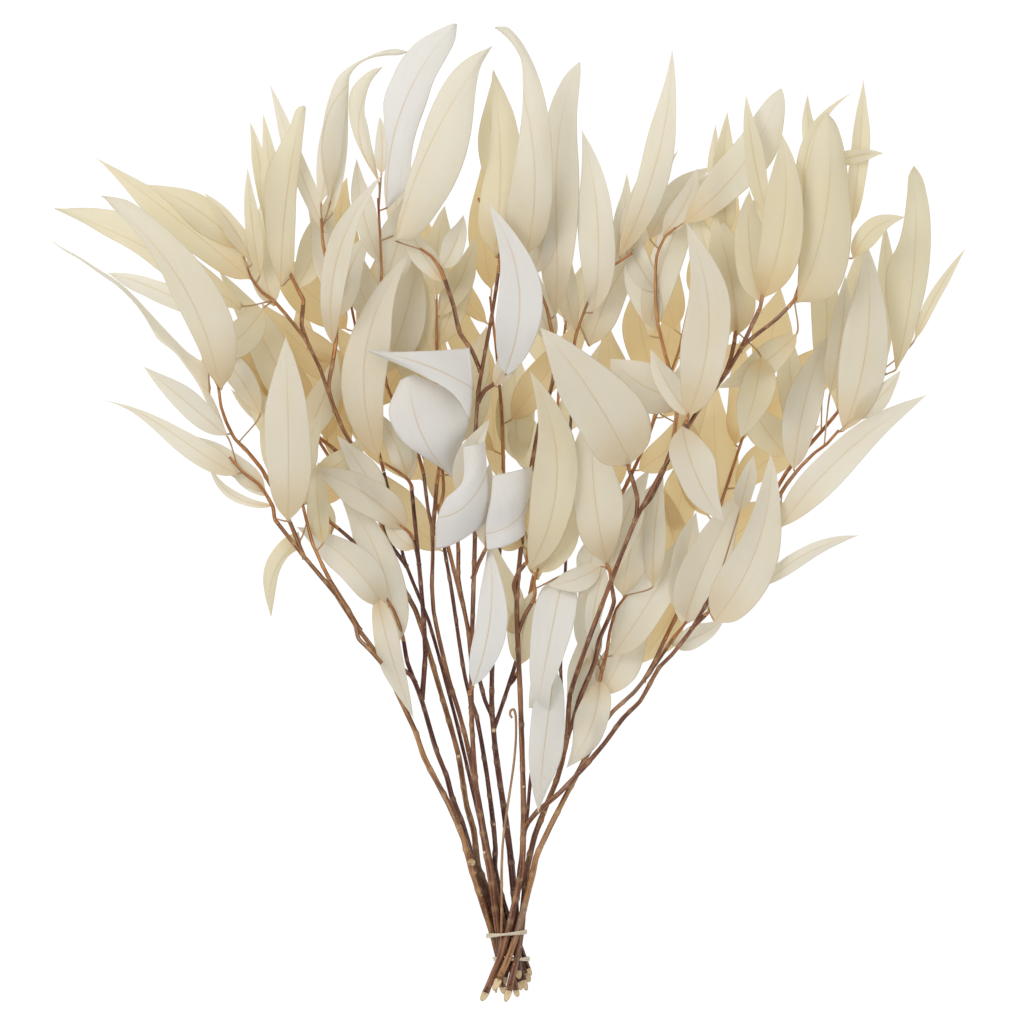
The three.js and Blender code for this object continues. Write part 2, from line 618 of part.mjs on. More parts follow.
    leaves: [
      [62, -86, 106, -12, 26, -2, 6],
      [56, -110, 86, -56, 24, 1, -6, { from: [54.5, -99] }],
      [54, -101, 34, -154, 20, 5, -8, { from: [54.5, -99], up: 2 }],
      [51, -90, 46, -34, 16, 2, 0, { from: [56, -94] }],
      [68, -50, 90, 20, 24, 4, 2],
      [86, -44, 92, 24, 13, 2, 4, { from: [70, -50] }],
      [51, -84, 34, -130, 15, 3, -10, { from: [55, -97] }],
    ],
  },
  {
    grows: [8, 'left'], tone: 'back',
    twig: [[-33, -38, 26], [-40, -10, 24], [-48, 20, 22], [-58, 52, 20], [-70, 84, 20], [-80, 112, 22]],
    fan: { count: 7, length: 72, width: 21 },
    leaves: [],
  },
  {
    grows: [8, 'tip'], tone: 'back',
    twig: [[-4, 30, 35], [-5, 60, 34], [-8, 95, 34], [-12, 130, 36]],
    fan: { count: 6, length: 76, width: 19 },
    leaves: [],
  },
  {
    grows: [4, 'tip'], tone: 'back',
    twig: [[-80, 40, 33], [-84, 66, 33], [-90, 96, 36], [-96, 126, 42]],
    fan: { count: 6, length: 72, width: 22 },
    leaves: [],
  },
  {
    grows: [4, 'back'], tone: 'back',
    twig: [[-94, 10, 17], [-106, 28, 13], [-120, 50, 11], [-134, 70, 13]],
    fan: { count: 5, length: 66, width: 22 },
    leaves: [
      [-104, 30, -92, 92, 17, 3, 0, { pressed: true, from: [-100, 20] }],
    ],
  },
  {
    grows: [11, 'back'], tone: 'back',
    twig: [[58, -6, 40], [70, 16, 36], [82, 42, 32], [92, 70, 30], [102, 98, 32], [108, 126, 38]],
    fan: { count: 8, length: 72, width: 24 },
    leaves: [
      [90, 74, 106, 130, 17, 3, 0, { pressed: true, from: [84, 48] }],
    ],
  },
  {
    grows: [13, 'deep'], tone: 'back',
    twig: [[100, -62, 46], [112, -38, 42], [122, -10, 38], [132, 20, 35], [142, 50, 34], [152, 80, 36]],
    fan: { count: 7, length: 66, width: 24 },
    leaves: [],
  },
];

// Short forks that only carry one of the sprays, on the stem that their spray grows from
Object.assign(STEMS[5].forks, {
  mid: [[-23.4, -118, 49.8], [-24.2, -113, 53.5], [-24.2, -110, 56.5]],
});
Object.assign(STEMS[7].forks, {
  stub: [[-0.5, -104, 27.5], [2, -101.5, 30], [3.6, -98.5, 32]],
});
Object.assign(STEMS[9].forks, {
  outback: [[150, -7, 85.5], [156, 4, 84], [160, 14, 83]],
  outfront: [[109, -70, 71.5], [114, -65, 75], [117, -62, 77.5]],
});
Object.assign(STEMS[12].forks, {
  deep: [[80, -102, 55.7], [87, -90, 52], [93, -77, 49]],
});

const vec = (p) => new THREE.Vector3(...p);

// A small seeded random source, so that the bunch is the same each time
function seeded(seed) {
  let state = seed;
  return () => {
    state = (state + 0x6d2b79f5) | 0;
    let t = Math.imul(state ^ (state >>> 15), 1 | state);
    t = (t + Math.imul(t ^ (t >>> 7), 61 | t)) ^ t;
    return ((t ^ (t >>> 14)) >>> 0) / 4294967296;
  };
}

const random = seeded(SEED);

// Centre of a stem near the tie: the sheaf is a linear twist, so no two stems come closer than at the waist
function sheafPoint(waist, y) {
  const run = y - WAIST_Y;
  const climb = WAIST_HEIGHT + (RISE / 2) * (run + Math.hypot(run, SHEAF_STEP) - SHEAF_STEP);
  const turn = run * (1 - SPLAY * Math.min(run, 0));
  return new THREE.Vector3(
    waist[0] + TWIST_ACROSS * waist[1] * turn + LEAN * Math.min(run, 0),
    y,
    climb + waist[1] - TWIST_UP * waist[0] * turn,
  );
}

function stemPoints(stem) {
  const points = [sheafPoint(stem.waist, stem.butt)];
  for (const y of [WAIST_Y - 8, WAIST_Y + 6, WAIST_Y + 24, SHEAF_TOP]) points.push(sheafPoint(stem.waist, y));
  return points.concat(stem.path.map(vec));
}

// Directions along a line of points, from each point's neighbours
function directions(points) {
  return points.map((p, i) => {
    const before = points[Math.max(i - 1, 0)];
    const after = points[Math.min(i + 1, points.length - 1)];
    return after.clone().sub(before).normalize();
  });
}

// A closed tapered tube through the points, with flat ends
function tube(points, radii, sides) {
  const along = directions(points);
  const corners = [];
  let side = new THREE.Vector3(0, 0, 1).cross(along[0]).normalize();
  points.forEach((p, i) => {
    side.addScaledVector(along[i], -side.dot(along[i])).normalize();
    const up = along[i].clone().cross(side);
    const bend = i > 0 && i < points.length - 1 ? along[i].angleTo(points[i + 1].clone().sub(p)) : 0;
    for (let k = 0; k < sides; k += 1) {
      const turn = ((k + 0.5) / sides) * 2 * Math.PI;
      const reach = radii[i] / Math.max(Math.cos(bend), 0.8);
      const corner = p.clone().addScaledVector(side, reach * Math.cos(turn));
      corners.push(corner.addScaledVector(up, reach * Math.sin(turn)));
    }
  });
  const faces = [];
  const last = (points.length - 1) * sides;
  for (let i = 0; i + 1 < points.length; i += 1) {
    for (let k = 0; k < sides; k += 1) {
      const a = i * sides + k;
      const b = i * sides + ((k + 1) % sides);
      faces.push(a, b, b + sides, a, b + sides, a + sides);
    }
  }
  for (let k = 1; k + 1 < sides; k += 1) faces.push(0, k + 1, k, last, last + k, last + k + 1);
  return solid(corners, faces);
}

// A solid from corner points and triangles
function solid(corners, faces) {
  const vertProperties = new Float32Array(corners.flatMap((c) => [c.x, c.y, c.z]));
  return new wasm.Manifold(new wasm.Mesh({ numProp: 3, vertProperties, triVerts: new Uint32Array(faces) }));
}

// Leaves out the points that lie on a straight line between their neighbours, or nearly so
function thinned(points) {
  const kept = [points[0]];
  let first = 0;
  for (let i = 2; i < points.length; i += 1) {
    const chord = new THREE.Line3(points[first], points[i]);
    const nearest = (p) => chord.closestPointToPoint(p, true, new THREE.Vector3());
    const off = points.slice(first + 1, i).map((p) => nearest(p).distanceTo(p));
    if (Math.max(...off) > STRAIGHT_ENOUGH) {
      first = i - 1;
      kept.push(points[first]);
    }
  }
  return kept.concat(points[points.length - 1]);
}

function spread(from, to, count) {
  return Array.from({ length: count }, (_, i) => from + ((to - from) * i) / (count - 1));
}

// Stub ends, where the sprays begin
function forkEnd(points, radius) {
  const end = points[points.length - 1];
  return { end, along: end.clone().sub(points[points.length - 2]).normalize(), radius };
}

// One stem with its forks, and the ends that its sprays grow from
function buildStem(stem) {
  const points = thinned(stemPoints(stem));
  const [thick, thin] = stem.radius;
  const radii = spread(thick, thin, points.length);
  let body = tube(points, radii, STEM_SIDES);
  const ends = { tip: forkEnd(points, thin) };
  const tubes = [{ points, radii }];
  for (const [name, path] of Object.entries(stem.forks)) {
    const line = thinned(path.map(vec));
    const start = path.length > LONG_FORK ? LONG_FORK_RADIUS : TWIG_RADIUS[0];
    const forkRadii = spread(start, TWIG_RADIUS[0], line.length);
    body = body.add(tube(line, forkRadii, FORK_SIDES));
    ends[name] = forkEnd(line, forkRadii[forkRadii.length - 1]);
    tubes.push({ points: line, radii: forkRadii });
  }
  return { body, ends, tubes };
}

// Nearest point of a twig to a place in the plan, as its distance along the twig
function nearestOnTwig(points, x, y) {
  let best = { gap: Infinity, along: 0 };
  let run = 0;
  for (let i = 0; i + 1 < points.length; i += 1) {
    const a = points[i];
    const b = points[i + 1];
    const long = a.distanceTo(b);
    const dx = b.x - a.x;
    const dy = b.y - a.y;
    const t = THREE.MathUtils.clamp(((x - a.x) * dx + (y - a.y) * dy) / (dx * dx + dy * dy + 1e-9), 0, 1);
    const gap = Math.hypot(a.x + dx * t - x, a.y + dy * t - y);
    if (gap < best.gap) best = { gap, along: run + long * t };
    run += long;
  }
  return best;
}

function pointOnTwig(points, distance) {
  let left = Math.max(distance, JOINT_RUN * 1.2);
  for (let i = 0; i + 1 < points.length; i += 1) {
    const long = points[i].distanceTo(points[i + 1]);
    if (left <= long || i + 2 === points.length) {
      return points[i].clone().lerp(points[i + 1], Math.min(left / long, 0.96));
    }
    left -= long;
  }
  return points[0].clone();
}

// Share of a leaf's full width at a place along it
function outlineAt({ rise, fall, least }, u) {
  const widest = rise / (rise + fall);
  return Math.max((u / widest) ** rise * ((1 - u) / (1 - widest)) ** fall, least);
}

// A leaf from its row: its root on the twig, and the centre, half width and slope of each station
function leafFrom(row, twig, spray) {
  const [bx, by, tx, ty, width, bend, rise, options = {}] = row;
  const [fx, fy] = options.from ?? [bx, by];
  const near = nearestOnTwig(twig, fx, fy);
  const root = pointOnTwig(twig, near.along - PULL_BACK * near.gap);
  const long = Math.hypot(tx - bx, ty - by);
  const stalk = Math.hypot(bx - root.x, by - root.y);
  const start = root.z + (options.up ?? 0) + Math.sign(rise || 1) * Math.min(2 + 0.12 * stalk, 6);
  const drawn = [random() - 0.5, random() - 0.5];
  const flat = options.pressed || options.roll;
  const roll = options.pressed ? 0 : options.roll ?? drawn[0] * ROLL_SPREAD;
  const twist = flat ? 0 : drawn[1] * ROLL_SPREAD;
  const outline = OUTLINES[options.outline ?? 'willow'];
  const nx = -(ty - by) / long;
  const ny = (tx - bx) / long;
  const place = (u) => {
    const off = bend * 4 * u * (1 - u) * (1 + (options.skew ?? 0) * (2 * u - 1));
    return [bx + (tx - bx) * u + nx * off, by + (ty - by) * u + ny * off];
  };
  const shares = long > LONG_LEAF ? LONG_STATIONS : SHORT_STATIONS;
  const stations = (stalk > SHORT_STALK ? [0, ...shares] : shares).map((u) => {
    const [x, y] = place(u);
    const [ax, ay] = place(Math.max(u - 0.02, 0));
    const [cx, cy] = place(Math.min(u + 0.02, 1));
    const step = Math.hypot(cx - ax, cy - ay);
    return {
      x,
      y,
      z: start + rise * u + (options.arch ?? ARCH) * long * 4 * u * (1 - u),
      half: Math.max((width / 2) * outlineAt(outline, u), u ? POINTED : BLADE_START / 2),
      nx: -(cy - ay) / step,
      ny: (cx - ax) / step,
      slope: roll + twist * (u - 0.5),
    };
  });
  stations.forEach((s) => {
    s.z = options.pressed ? BLADE_THICK / 2 : Math.max(s.z, FLOOR + BLADE_THICK + Math.abs(s.slope) * s.half);
  });
  return { root, stations, spray, held: Boolean(options.pressed) };
}

// Leaves along a hidden twig by rule: left and right in turn, leaning out from the twig
function fanRows(twig, fan) {
  const rows = [];
  const total = twig.reduce((sum, p, i) => (i ? sum + p.distanceTo(twig[i - 1]) : 0), 0);
  for (let i = 0; i < fan.count; i += 1) {
    const spot = pointOnTwig(twig, total * (0.18 + (0.8 * i) / (fan.count - 1)));
    const ahead = pointOnTwig(twig, total * (0.24 + (0.8 * i) / (fan.count - 1)));
    const line = Math.atan2(ahead.y - spot.y, ahead.x - spot.x);
    const lean = (i % 2 ? -1 : 1) * (0.3 + 0.4 * random()) * (i + 1 < fan.count ? 1 : 0.2);
    const long = fan.length * (0.8 + 0.35 * random());
    const bx = spot.x + 7 * Math.cos(line + lean * 1.5);
    const by = spot.y + 7 * Math.sin(line + lean * 1.5);
    rows.push([bx, by, bx + long * Math.cos(line + lean), by + long * Math.sin(line + lean),
      fan.width * (0.8 + 0.4 * random()), (random() - 0.5) * 10, (random() - 0.45) * 16]);
  }
  return rows;
}

// The closed blade with its petiole: rectangular sections, both faces split into triangles alike, and a tip that
// is one short upright edge
function bladeSolid(leaf) {
  const centres = [leaf.root, ...leaf.stations.map((s) => new THREE.Vector3(s.x, s.y, s.z))];
  const along = directions(centres);
  const last = centres.length - 1;
  const pointed = leaf.stations[last - 1].half <= POINTED;
  const corners = [];
  centres.forEach((c, i) => {
    const s = leaf.stations[Math.max(i - 1, 0)];
    const half = i === 0 ? PETIOLE_WIDE / 2 : s.half;
    const across = new THREE.Vector3(s.nx, s.ny, s.slope);
    if (i === 0) across.set(-along[0].y, along[0].x, 0).normalize();
    const up = along[i].clone().cross(across).normalize();
    const thick = (i === 0 ? PETIOLE_WIDE : BLADE_THICK) / 2;
    const around = pointed && i === last ? [[0, 1], [0, -1]] : [[1, 1], [-1, 1], [-1, -1], [1, -1]];
    around.forEach(([v, t]) => {
      corners.push(c.clone().addScaledVector(across, half * v).addScaledVector(up, thick * t));
    });
  });
  const faces = [0, 3, 2, 0, 2, 1];
  for (let i = 0; i + 1 < centres.length; i += 1) {
    const a = i * 4;
    const b = a + 4;
    if (pointed && i + 1 === last) {
      faces.push(a, a + 1, b, a + 3, b + 1, a + 2, a + 1, a + 2, b + 1);
      faces.push(a + 1, b + 1, b, a, b, b + 1, a, b + 1, a + 3);
    } else {
      faces.push(a, a + 1, b + 1, a, b + 1, b);
      faces.push(a + 3, b + 2, a + 2, a + 3, b + 3, b + 2);
      faces.push(a + 1, a + 2, b + 2, a + 1, b + 2, b + 1);
      faces.push(a, b + 3, a + 3, a, b, b + 3);
    }
  }
  const end = last * 4;
  if (!pointed) faces.push(end, end + 2, end + 3, end, end + 1, end + 2);
  return solid(corners, faces);
}

// Where a place in the plan falls on a leaf: the stations on both sides of it, the share, and the reach across
function placeOnLeaf(leaf, x, y, margin) {
  const { stations } = leaf;
  let best = null;
  for (let k = 0; k + 1 < stations.length; k += 1) {
    const a = stations[k];
    const b = stations[k + 1];
    const dx = b.x - a.x;
    const dy = b.y - a.y;
    const long = Math.hypot(dx, dy);
    const t = ((x - a.x) * dx + (y - a.y) * dy) / (long * long);
    if (t < -margin / long || t > 1 + margin / long) continue;
    const share = THREE.MathUtils.clamp(t, 0, 1);
    const across = ((x - a.x) * -dy + (y - a.y) * dx) / long;
    const half = a.half + (b.half - a.half) * share;
    const over = Math.abs(across) - half;
    if (over < margin && (!best || over < best.over)) best = { k, share, across, over };
  }
  return best;
}

function slopeAt(leaf, spot) {
  const a = leaf.stations[spot.k];
  const b = leaf.stations[spot.k + 1];
  return a.slope + (b.slope - a.slope) * spot.share;
}

function heightAt(leaf, spot) {
  const a = leaf.stations[spot.k];
  const b = leaf.stations[spot.k + 1];
  return a.z + (b.z - a.z) * spot.share + slopeAt(leaf, spot) * spot.across;
}

// Sample places over a leaf, every few millimetres along and at five lines across
function samplesOf(leaf) {
  const spots = [];
  for (let k = 0; k + 1 < leaf.stations.length; k += 1) {
    const a = leaf.stations[k];
    const b = leaf.stations[k + 1];
    const steps = Math.max(2, Math.round(Math.hypot(b.x - a.x, b.y - a.y) / 5));
    for (let i = 0; i < steps; i += 1) {
      const share = (i + 0.5) / steps;
      const half = a.half + (b.half - a.half) * share;
      for (const v of [-1, -0.5, 0, 0.5, 1]) {
        const nx = a.nx + (b.nx - a.nx) * share;
        const ny = a.ny + (b.ny - a.ny) * share;
        const x = a.x + (b.x - a.x) * share + nx * half * v;
        const y = a.y + (b.y - a.y) * share + ny * half * v;
        spots.push({ k, share, across: half * v, x, y });
      }
    }
  }
  return spots;
}

function boxOf(leaf) {
  const reach = Math.max(...leaf.stations.map((s) => s.half)) + 2;
  const xs = leaf.stations.map((s) => s.x);
  const ys = leaf.stations.map((s) => s.y);
  return [Math.min(...xs) - reach, Math.max(...xs) + reach, Math.min(...ys) - reach, Math.max(...ys) + reach];
}

// All places where two leaves, or a leaf and a piece of wood, share the plan
function findContacts(leaves, woods) {
  const contacts = [];
  const boxes = leaves.map(boxOf);
  const spots = leaves.map(samplesOf);
  for (let i = 0; i < leaves.length; i += 1) {
    for (let j = i + 1; j < leaves.length; j += 1) {
      const [a, b] = [boxes[i], boxes[j]];
      if (a[0] > b[1] || b[0] > a[1] || a[2] > b[3] || b[2] > a[3]) continue;
      const pairs = [];
      for (const [from, to, sign] of [[i, j, 1], [j, i, -1]]) {
        for (const spot of spots[from]) {
          const other = placeOnLeaf(leaves[to], spot.x, spot.y, 1.2);
          if (!other) continue;
          const near = leaves[i].spray === leaves[j].spray && (spot.k === 0 || other.k === 0);
          if (!near) pairs.push(sign > 0 ? [spot, other] : [other, spot]);
        }
      }
      if (!pairs.length) continue;
      const lead = pairs.reduce((sum, [p, q]) => sum + heightAt(leaves[i], p) - heightAt(leaves[j], q), 0);
      for (const [p, q] of pairs) {
        const lean = Math.max(Math.abs(slopeAt(leaves[i], p)), Math.abs(slopeAt(leaves[j], q)));
        const clear = LEAF_CLEAR * Math.hypot(1, lean);
        contacts.push({ a: leaves[i], b: leaves[j], p, q, sign: Math.sign(lead) || 1, clear });
      }
    }
  }
  for (const wood of woods) {
    for (const leaf of leaves) {
      const pairs = [];
      for (const bead of wood.beads) {
        if (wood.spray === leaf.spray && bead.distanceTo(leaf.root) < 14) continue;
        const spot = placeOnLeaf(leaf, bead.x, bead.y, bead.radius + 1);
        if (spot) pairs.push([spot, bead]);
      }
      if (!pairs.length) continue;
      const lead = pairs.reduce((sum, [p, bead]) => sum + heightAt(leaf, p) - bead.z, 0);
      for (const [p, bead] of pairs) {
        const clear = (bead.radius + WOOD_CLEAR) * Math.hypot(1.1, slopeAt(leaf, p));
        contacts.push({ a: leaf, p, height: bead.z, sign: Math.sign(lead) || 1, clear });
      }
    }
  }
  return contacts;
}

// Moves one end of a contact up or down, shared between the two stations beside it
function nudge(leaf, spot, amount) {
  if (leaf.held) return;
  const near = 1 - spot.share;
  const far = spot.share;
  const scale = near * near + far * far;
  leaf.stations[spot.k].z += (amount * near * (spot.k === 0 ? 0.35 : 1)) / scale;
  leaf.stations[spot.k + 1].z += (amount * far) / scale;
}

// Eases the leaves apart in height until none shares its place with another leaf or a piece of wood
function settle(leaves, woods) {
  const contacts = findContacts(leaves, woods);
  const rest = leaves.map((leaf) => leaf.stations.map((s) => s.z));
  for (let round = 0; round < ROUNDS; round += 1) {
    for (const c of contacts) {
      const lower = c.b ? heightAt(c.b, c.q) : c.height;
      const short = c.clear - c.sign * (heightAt(c.a, c.p) - lower);
      if (short <= 0) continue;
      const step = 0.5 * c.sign * Math.min(short, 4);
      nudge(c.a, c.p, c.b ? step * 0.5 : step);
      if (c.b) nudge(c.b, c.q, -step * 0.5);
    }
    leaves.forEach((leaf, i) => {
      if (leaf.held) return;
      const off = leaf.stations.map((s, k) => s.z - rest[i][k]);
      const soft = round < ROUNDS - 40 ? SOFTEN : SOFTEN * 0.25;
      leaf.stations.forEach((s, k) => {
        const before = k ? off[k - 1] : 0;
        const after = k + 1 < off.length ? off[k + 1] : 2 * off[k] - before;
        s.z += soft * ((before + after) / 2 - off[k]);
        s.z = Math.max(s.z, FLOOR + BLADE_THICK + Math.abs(s.slope) * s.half);
      });
    });
  }
}

// Beads along a piece of wood, which the leaves keep clear of
function beadsOf(points, radii) {
  const beads = [];
  for (let i = 0; i + 1 < points.length; i += 1) {
    const steps = Math.max(1, Math.round(points[i].distanceTo(points[i + 1]) / 4));
    for (let n = 0; n < steps; n += 1) {
      const bead = points[i].clone().lerp(points[i + 1], (n + 0.5) / steps);
      bead.radius = radii[i] + ((radii[i + 1] - radii[i]) * (n + 0.5)) / steps;
      beads.push(bead);
    }
  }
  return beads;
}

// A turn of the tie: a flat band round the outline of the stems at one place, slanted a little
function buildTie(stems, y, slant) {
  const centre = new THREE.Vector2();
  stems.forEach((stem) => {
    const spot = sheafPoint(stem.waist, y);
    centre.add(new THREE.Vector2(spot.x, spot.z).divideScalar(stems.length));
  });
  const corners = [];
  for (let k = 0; k < TIE_SIDES; k += 1) {
    const turn = (k / TIE_SIDES) * 2 * Math.PI;
    const way = new THREE.Vector2(Math.cos(turn), Math.sin(turn));
    const edges = [-TIE_WIDE / 2, TIE_WIDE / 2].map((side) => y + slant * way.x * TIE_REACH + side);
    const reach = TIE_GAP + Math.max(...edges.flatMap((edge) => stems.map((stem) => {
      const spot = sheafPoint(stem.waist, edge);
      return new THREE.Vector2(spot.x, spot.z).sub(centre).dot(way) + stem.radius[0] * TIE_LEAN;
    })));
    for (const [out, edge] of [[0, 0], [TIE_THICK, 0], [TIE_THICK, 1], [0, 1]]) {
      const flat = way.clone().multiplyScalar(reach + out).add(centre);
      corners.push(new THREE.Vector3(flat.x, edges[edge], flat.y));
    }
  }
  const faces = [];
  for (let k = 0; k < TIE_SIDES; k += 1) {
    const a = k * 4;
    const b = ((k + 1) % TIE_SIDES) * 4;
    for (let e = 0; e < 4; e += 1) {
      const f = (e + 1) % 4;
      faces.push(a + e, b + f, b + e, a + e, a + f, b + f);
    }
  }
  return solid(corners, faces);
}

function meshOf(body, name, colour, roughness) {
  const flow = body.getMesh();
  const geometry = new THREE.BufferGeometry();
  geometry.setAttribute('position', new THREE.BufferAttribute(new Float32Array(flow.vertProperties), 3));
  geometry.setIndex(new THREE.BufferAttribute(new Uint32Array(flow.triVerts), 1));
  geometry.computeVertexNormals();
  const mesh = new THREE.Mesh(geometry, new THREE.MeshStandardMaterial({ color: colour, roughness, metalness: 0 }));
  mesh.name = name;
  return mesh;
}

const two = (n) => String(n).padStart(2, '0');

function build() {
  const group = new THREE.Group();
  const stems = STEMS.map(buildStem);
  const woods = stems.flatMap((stem) => stem.tubes.map((t) => ({ spray: -1, beads: beadsOf(t.points, t.radii) })));
  const leaves = [];
  const twigs = SPRAYS.map((spray, n) => {
    const { end, along, radius } = stems[spray.grows[0] - 1].ends[spray.grows[1]];
    const start = end.clone().addScaledVector(along, JOINT_GAP);
    const points = thinned([start, end.clone().addScaledVector(along, JOINT_RUN), ...spray.twig.map(vec)]);
    const radii = spread(Math.min(radius, TWIG_RADIUS[0]), TWIG_RADIUS[1], points.length);
    woods.push({ spray: n, beads: beadsOf(points, radii) });
    const rows = spray.leaves.concat(spray.fan ? fanRows(points, spray.fan) : []);
    rows.forEach((row) => leaves.push(leafFrom(row, points, n)));
    return { points, radii };
  });
  settle(leaves, woods);
  stems.forEach(({ body }, i) => group.add(meshOf(body, `stem_${two(i + 1)}`, BARK[STEMS[i].bark], 0.85)));
  twigs.forEach(({ points, radii }, n) => {
    const own = leaves.filter((leaf) => leaf.spray === n);
    const body = own.reduce((sum, leaf) => sum.add(bladeSolid(leaf)), tube(points, radii, FORK_SIDES));
    group.add(meshOf(body, `spray_${two(n + 1)}`, LEAF_COLOUR[SPRAYS[n].tone], 0.7));
  });
  group.add(meshOf(buildTie(STEMS, TIE_UPPER_Y, TIE_SLANT), 'tie_upper', TIE_COLOUR, 0.8));
  group.add(meshOf(buildTie(STEMS, TIE_LOWER_Y, 0), 'tie_lower', TIE_COLOUR, 0.8));
  return group;
}

const bunch = build();
const bounds = new THREE.Box3().setFromObject(bunch, true);
const middle = bounds.getCenter(new THREE.Vector3());
bunch.children.forEach((mesh) => mesh.geometry.translate(-middle.x, -middle.y, -bounds.min.z));

export default bunch;
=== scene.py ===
"""A tied bunch of dried, bleached eucalyptus that lies on a pale floor.

The bunch lies along Y, with its leaf tips towards +Y, and the camera looks straight down on it. The stems,
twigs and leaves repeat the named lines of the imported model, and the height of each leaf is read from its
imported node, so every fine blade lies where its node is. Sizes are in millimetres until a mesh is made.
"""

import logging
import math
from dataclasses import dataclass
from enum import Enum
from typing import Any, Callable, Iterable, Mapping, Sequence

import bpy
import numpy as np
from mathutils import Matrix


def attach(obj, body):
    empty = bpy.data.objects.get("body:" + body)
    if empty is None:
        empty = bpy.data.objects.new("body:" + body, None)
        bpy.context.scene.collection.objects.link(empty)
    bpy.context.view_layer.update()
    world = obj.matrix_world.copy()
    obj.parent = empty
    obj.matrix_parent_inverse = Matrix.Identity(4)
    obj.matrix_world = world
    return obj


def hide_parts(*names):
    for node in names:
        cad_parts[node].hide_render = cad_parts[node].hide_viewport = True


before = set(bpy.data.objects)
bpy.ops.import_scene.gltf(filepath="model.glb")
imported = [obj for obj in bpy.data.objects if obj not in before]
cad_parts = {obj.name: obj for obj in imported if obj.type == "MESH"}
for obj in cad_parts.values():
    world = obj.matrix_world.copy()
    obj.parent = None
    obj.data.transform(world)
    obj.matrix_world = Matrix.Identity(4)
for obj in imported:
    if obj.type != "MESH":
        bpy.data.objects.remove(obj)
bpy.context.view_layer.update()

LOG = logging.getLogger("eucalyptus")
Array = np.ndarray
Point = tuple[float, ...]
Span = tuple[float, float]

MM = 0.001
UP = np.array([0.0, 0.0, 1.0])
SEED = 20771
STEM_SEED = 7
SPRAY_SEED = 1000
WORD = 0xFFFFFFFF
DRAW_STEP = 0x6D2B79F5
WHOLE_TURN = 2.0 * math.pi
ANY_PHASE = (0.0, 6.3)


class Bark(Enum):
    """The four colours of bark in the bunch."""

    DARK = "dark"
    BROWN = "brown"
    TAN = "tan"
    PALE = "pale"


class Tone(Enum):
    """How deep in the bunch a spray lies, which its colour follows. Deeper sprays are warmer and yellower,
    partly their own colour and partly painted in for the light that reaches them through the leaves above.
    """

    FRONT = "front"
    MIDDLE = "middle"
    BACK = "back"


@dataclass(frozen=True)
class Outline:
    """Width along a leaf: powers of its rise from the base and of its fall to the tip, and its least share.

    The ends of a blunt leaf are bent back out of sight, so they aren't rounded.
    """

    rise: float
    fall: float
    least: float = 0.0
    blunt: bool = False

    def share(self, u: Array) -> Array:
        """Share of the full width: (u / m)^rise * ((1 - u) / (1 - m))^fall, m = rise / (rise + fall)."""
        widest = self.rise / (self.rise + self.fall)
        up = np.clip(u / widest, 0.0, None) ** self.rise
        down = np.clip((1.0 - u) / (1.0 - widest), 0.0, None) ** self.fall
        return np.maximum(up * down, self.least)


WILLOW = Outline(0.6, 0.9)
STRIP = Outline(0.1, 0.1, 0.85, True)
BRACT = Outline(0.32, 0.8, 0.5, True)
BROAD = Outline(0.32, 0.8)
WEDGE = Outline(0.15, 1.0, 0.0, True)
EARLY = Outline(0.5, 1.5)
TAPER = Outline(0.5, 1.15)
FULL = Outline(0.6, 0.5)


# Small tools for lines and shells


class Draw:
    """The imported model's own small random source, so that the ruled leaves fall on the same places."""

    def __init__(self, seed: int) -> None:
        """Starts the source.

        Args:
            seed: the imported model's seed.
        """
        self.state = seed

    def __call__(self) -> float:
        """The next number from 0 to 1, worked out on whole words of 32 bits."""
        self.state = (self.state + DRAW_STEP) & WORD
        t = ((self.state ^ (self.state >> 15)) * (1 | self.state)) & WORD
        t = ((t + (((t ^ (t >> 7)) * (61 | t)) & WORD)) & WORD) ^ t
        return (t ^ (t >> 14)) / (WORD + 1)


def no_draw() -> float:
    """The middle of what a source gives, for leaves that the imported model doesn't have."""
    return 0.5


def unit(vectors: Array) -> Array:
    """Each vector divided by its own length."""
    return vectors / np.maximum(np.linalg.norm(vectors, axis=-1, keepdims=True), 1e-9)


def ease(x: Array, low: float, high: float) -> Array:
    """A smooth step: t^2 (3 - 2 t) of t = (x - low) / (high - low), held between 0 and 1."""
    t = np.clip((np.asarray(x, float) - low) / (high - low), 0.0, 1.0)
    return t * t * (3.0 - 2.0 * t)


def curve_through(knots: Array, values: Array, at: Array, calm: bool = False) -> Array:
    """A smooth curve through values at knots: cubic pieces that share their slopes.

    The slope at a knot is the mean of the slopes beside it, each weighted by the other's span.

    Args:
        knots: where the values stand, rising.
        values: one row for each knot.
        at: where the curve is wanted.
        calm: keeps the curve from rising past its values, as a leaf that lies on another doesn't.

    Returns:
        One row for each place in at.
    """
    span = np.diff(knots)[:, None]
    slope = np.diff(values, axis=0) / span
    inner = (slope[:-1] * span[1:] + slope[1:] * span[:-1]) / (span[:-1] + span[1:])
    if calm:
        most = 3.0 * np.minimum(np.abs(slope[:-1]), np.abs(slope[1:]))
        inner = np.where(slope[:-1] * slope[1:] > 0.0, np.clip(inner, -most, most), 0.0)
    slopes = np.concatenate([slope[:1], inner, slope[-1:]])
    k = np.clip(np.searchsorted(knots, at, side="right") - 1, 0, len(knots) - 2)
    h = span[k]
    t = (at[:, None] - knots[k][:, None]) / h
    back = (1.0 - t) ** 2 * ((1.0 + 2.0 * t) * values[k] + t * h * slopes[k])
    ahead = t**2 * ((3.0 - 2.0 * t) * values[k + 1] + (t - 1.0) * h * slopes[k + 1])
    return back + ahead


def arc_lengths(points: Array) -> Array:
    """Length along a line of points, up to each point."""
    return np.concatenate([[0.0], np.cumsum(np.linalg.norm(np.diff(points, axis=0), axis=1))])


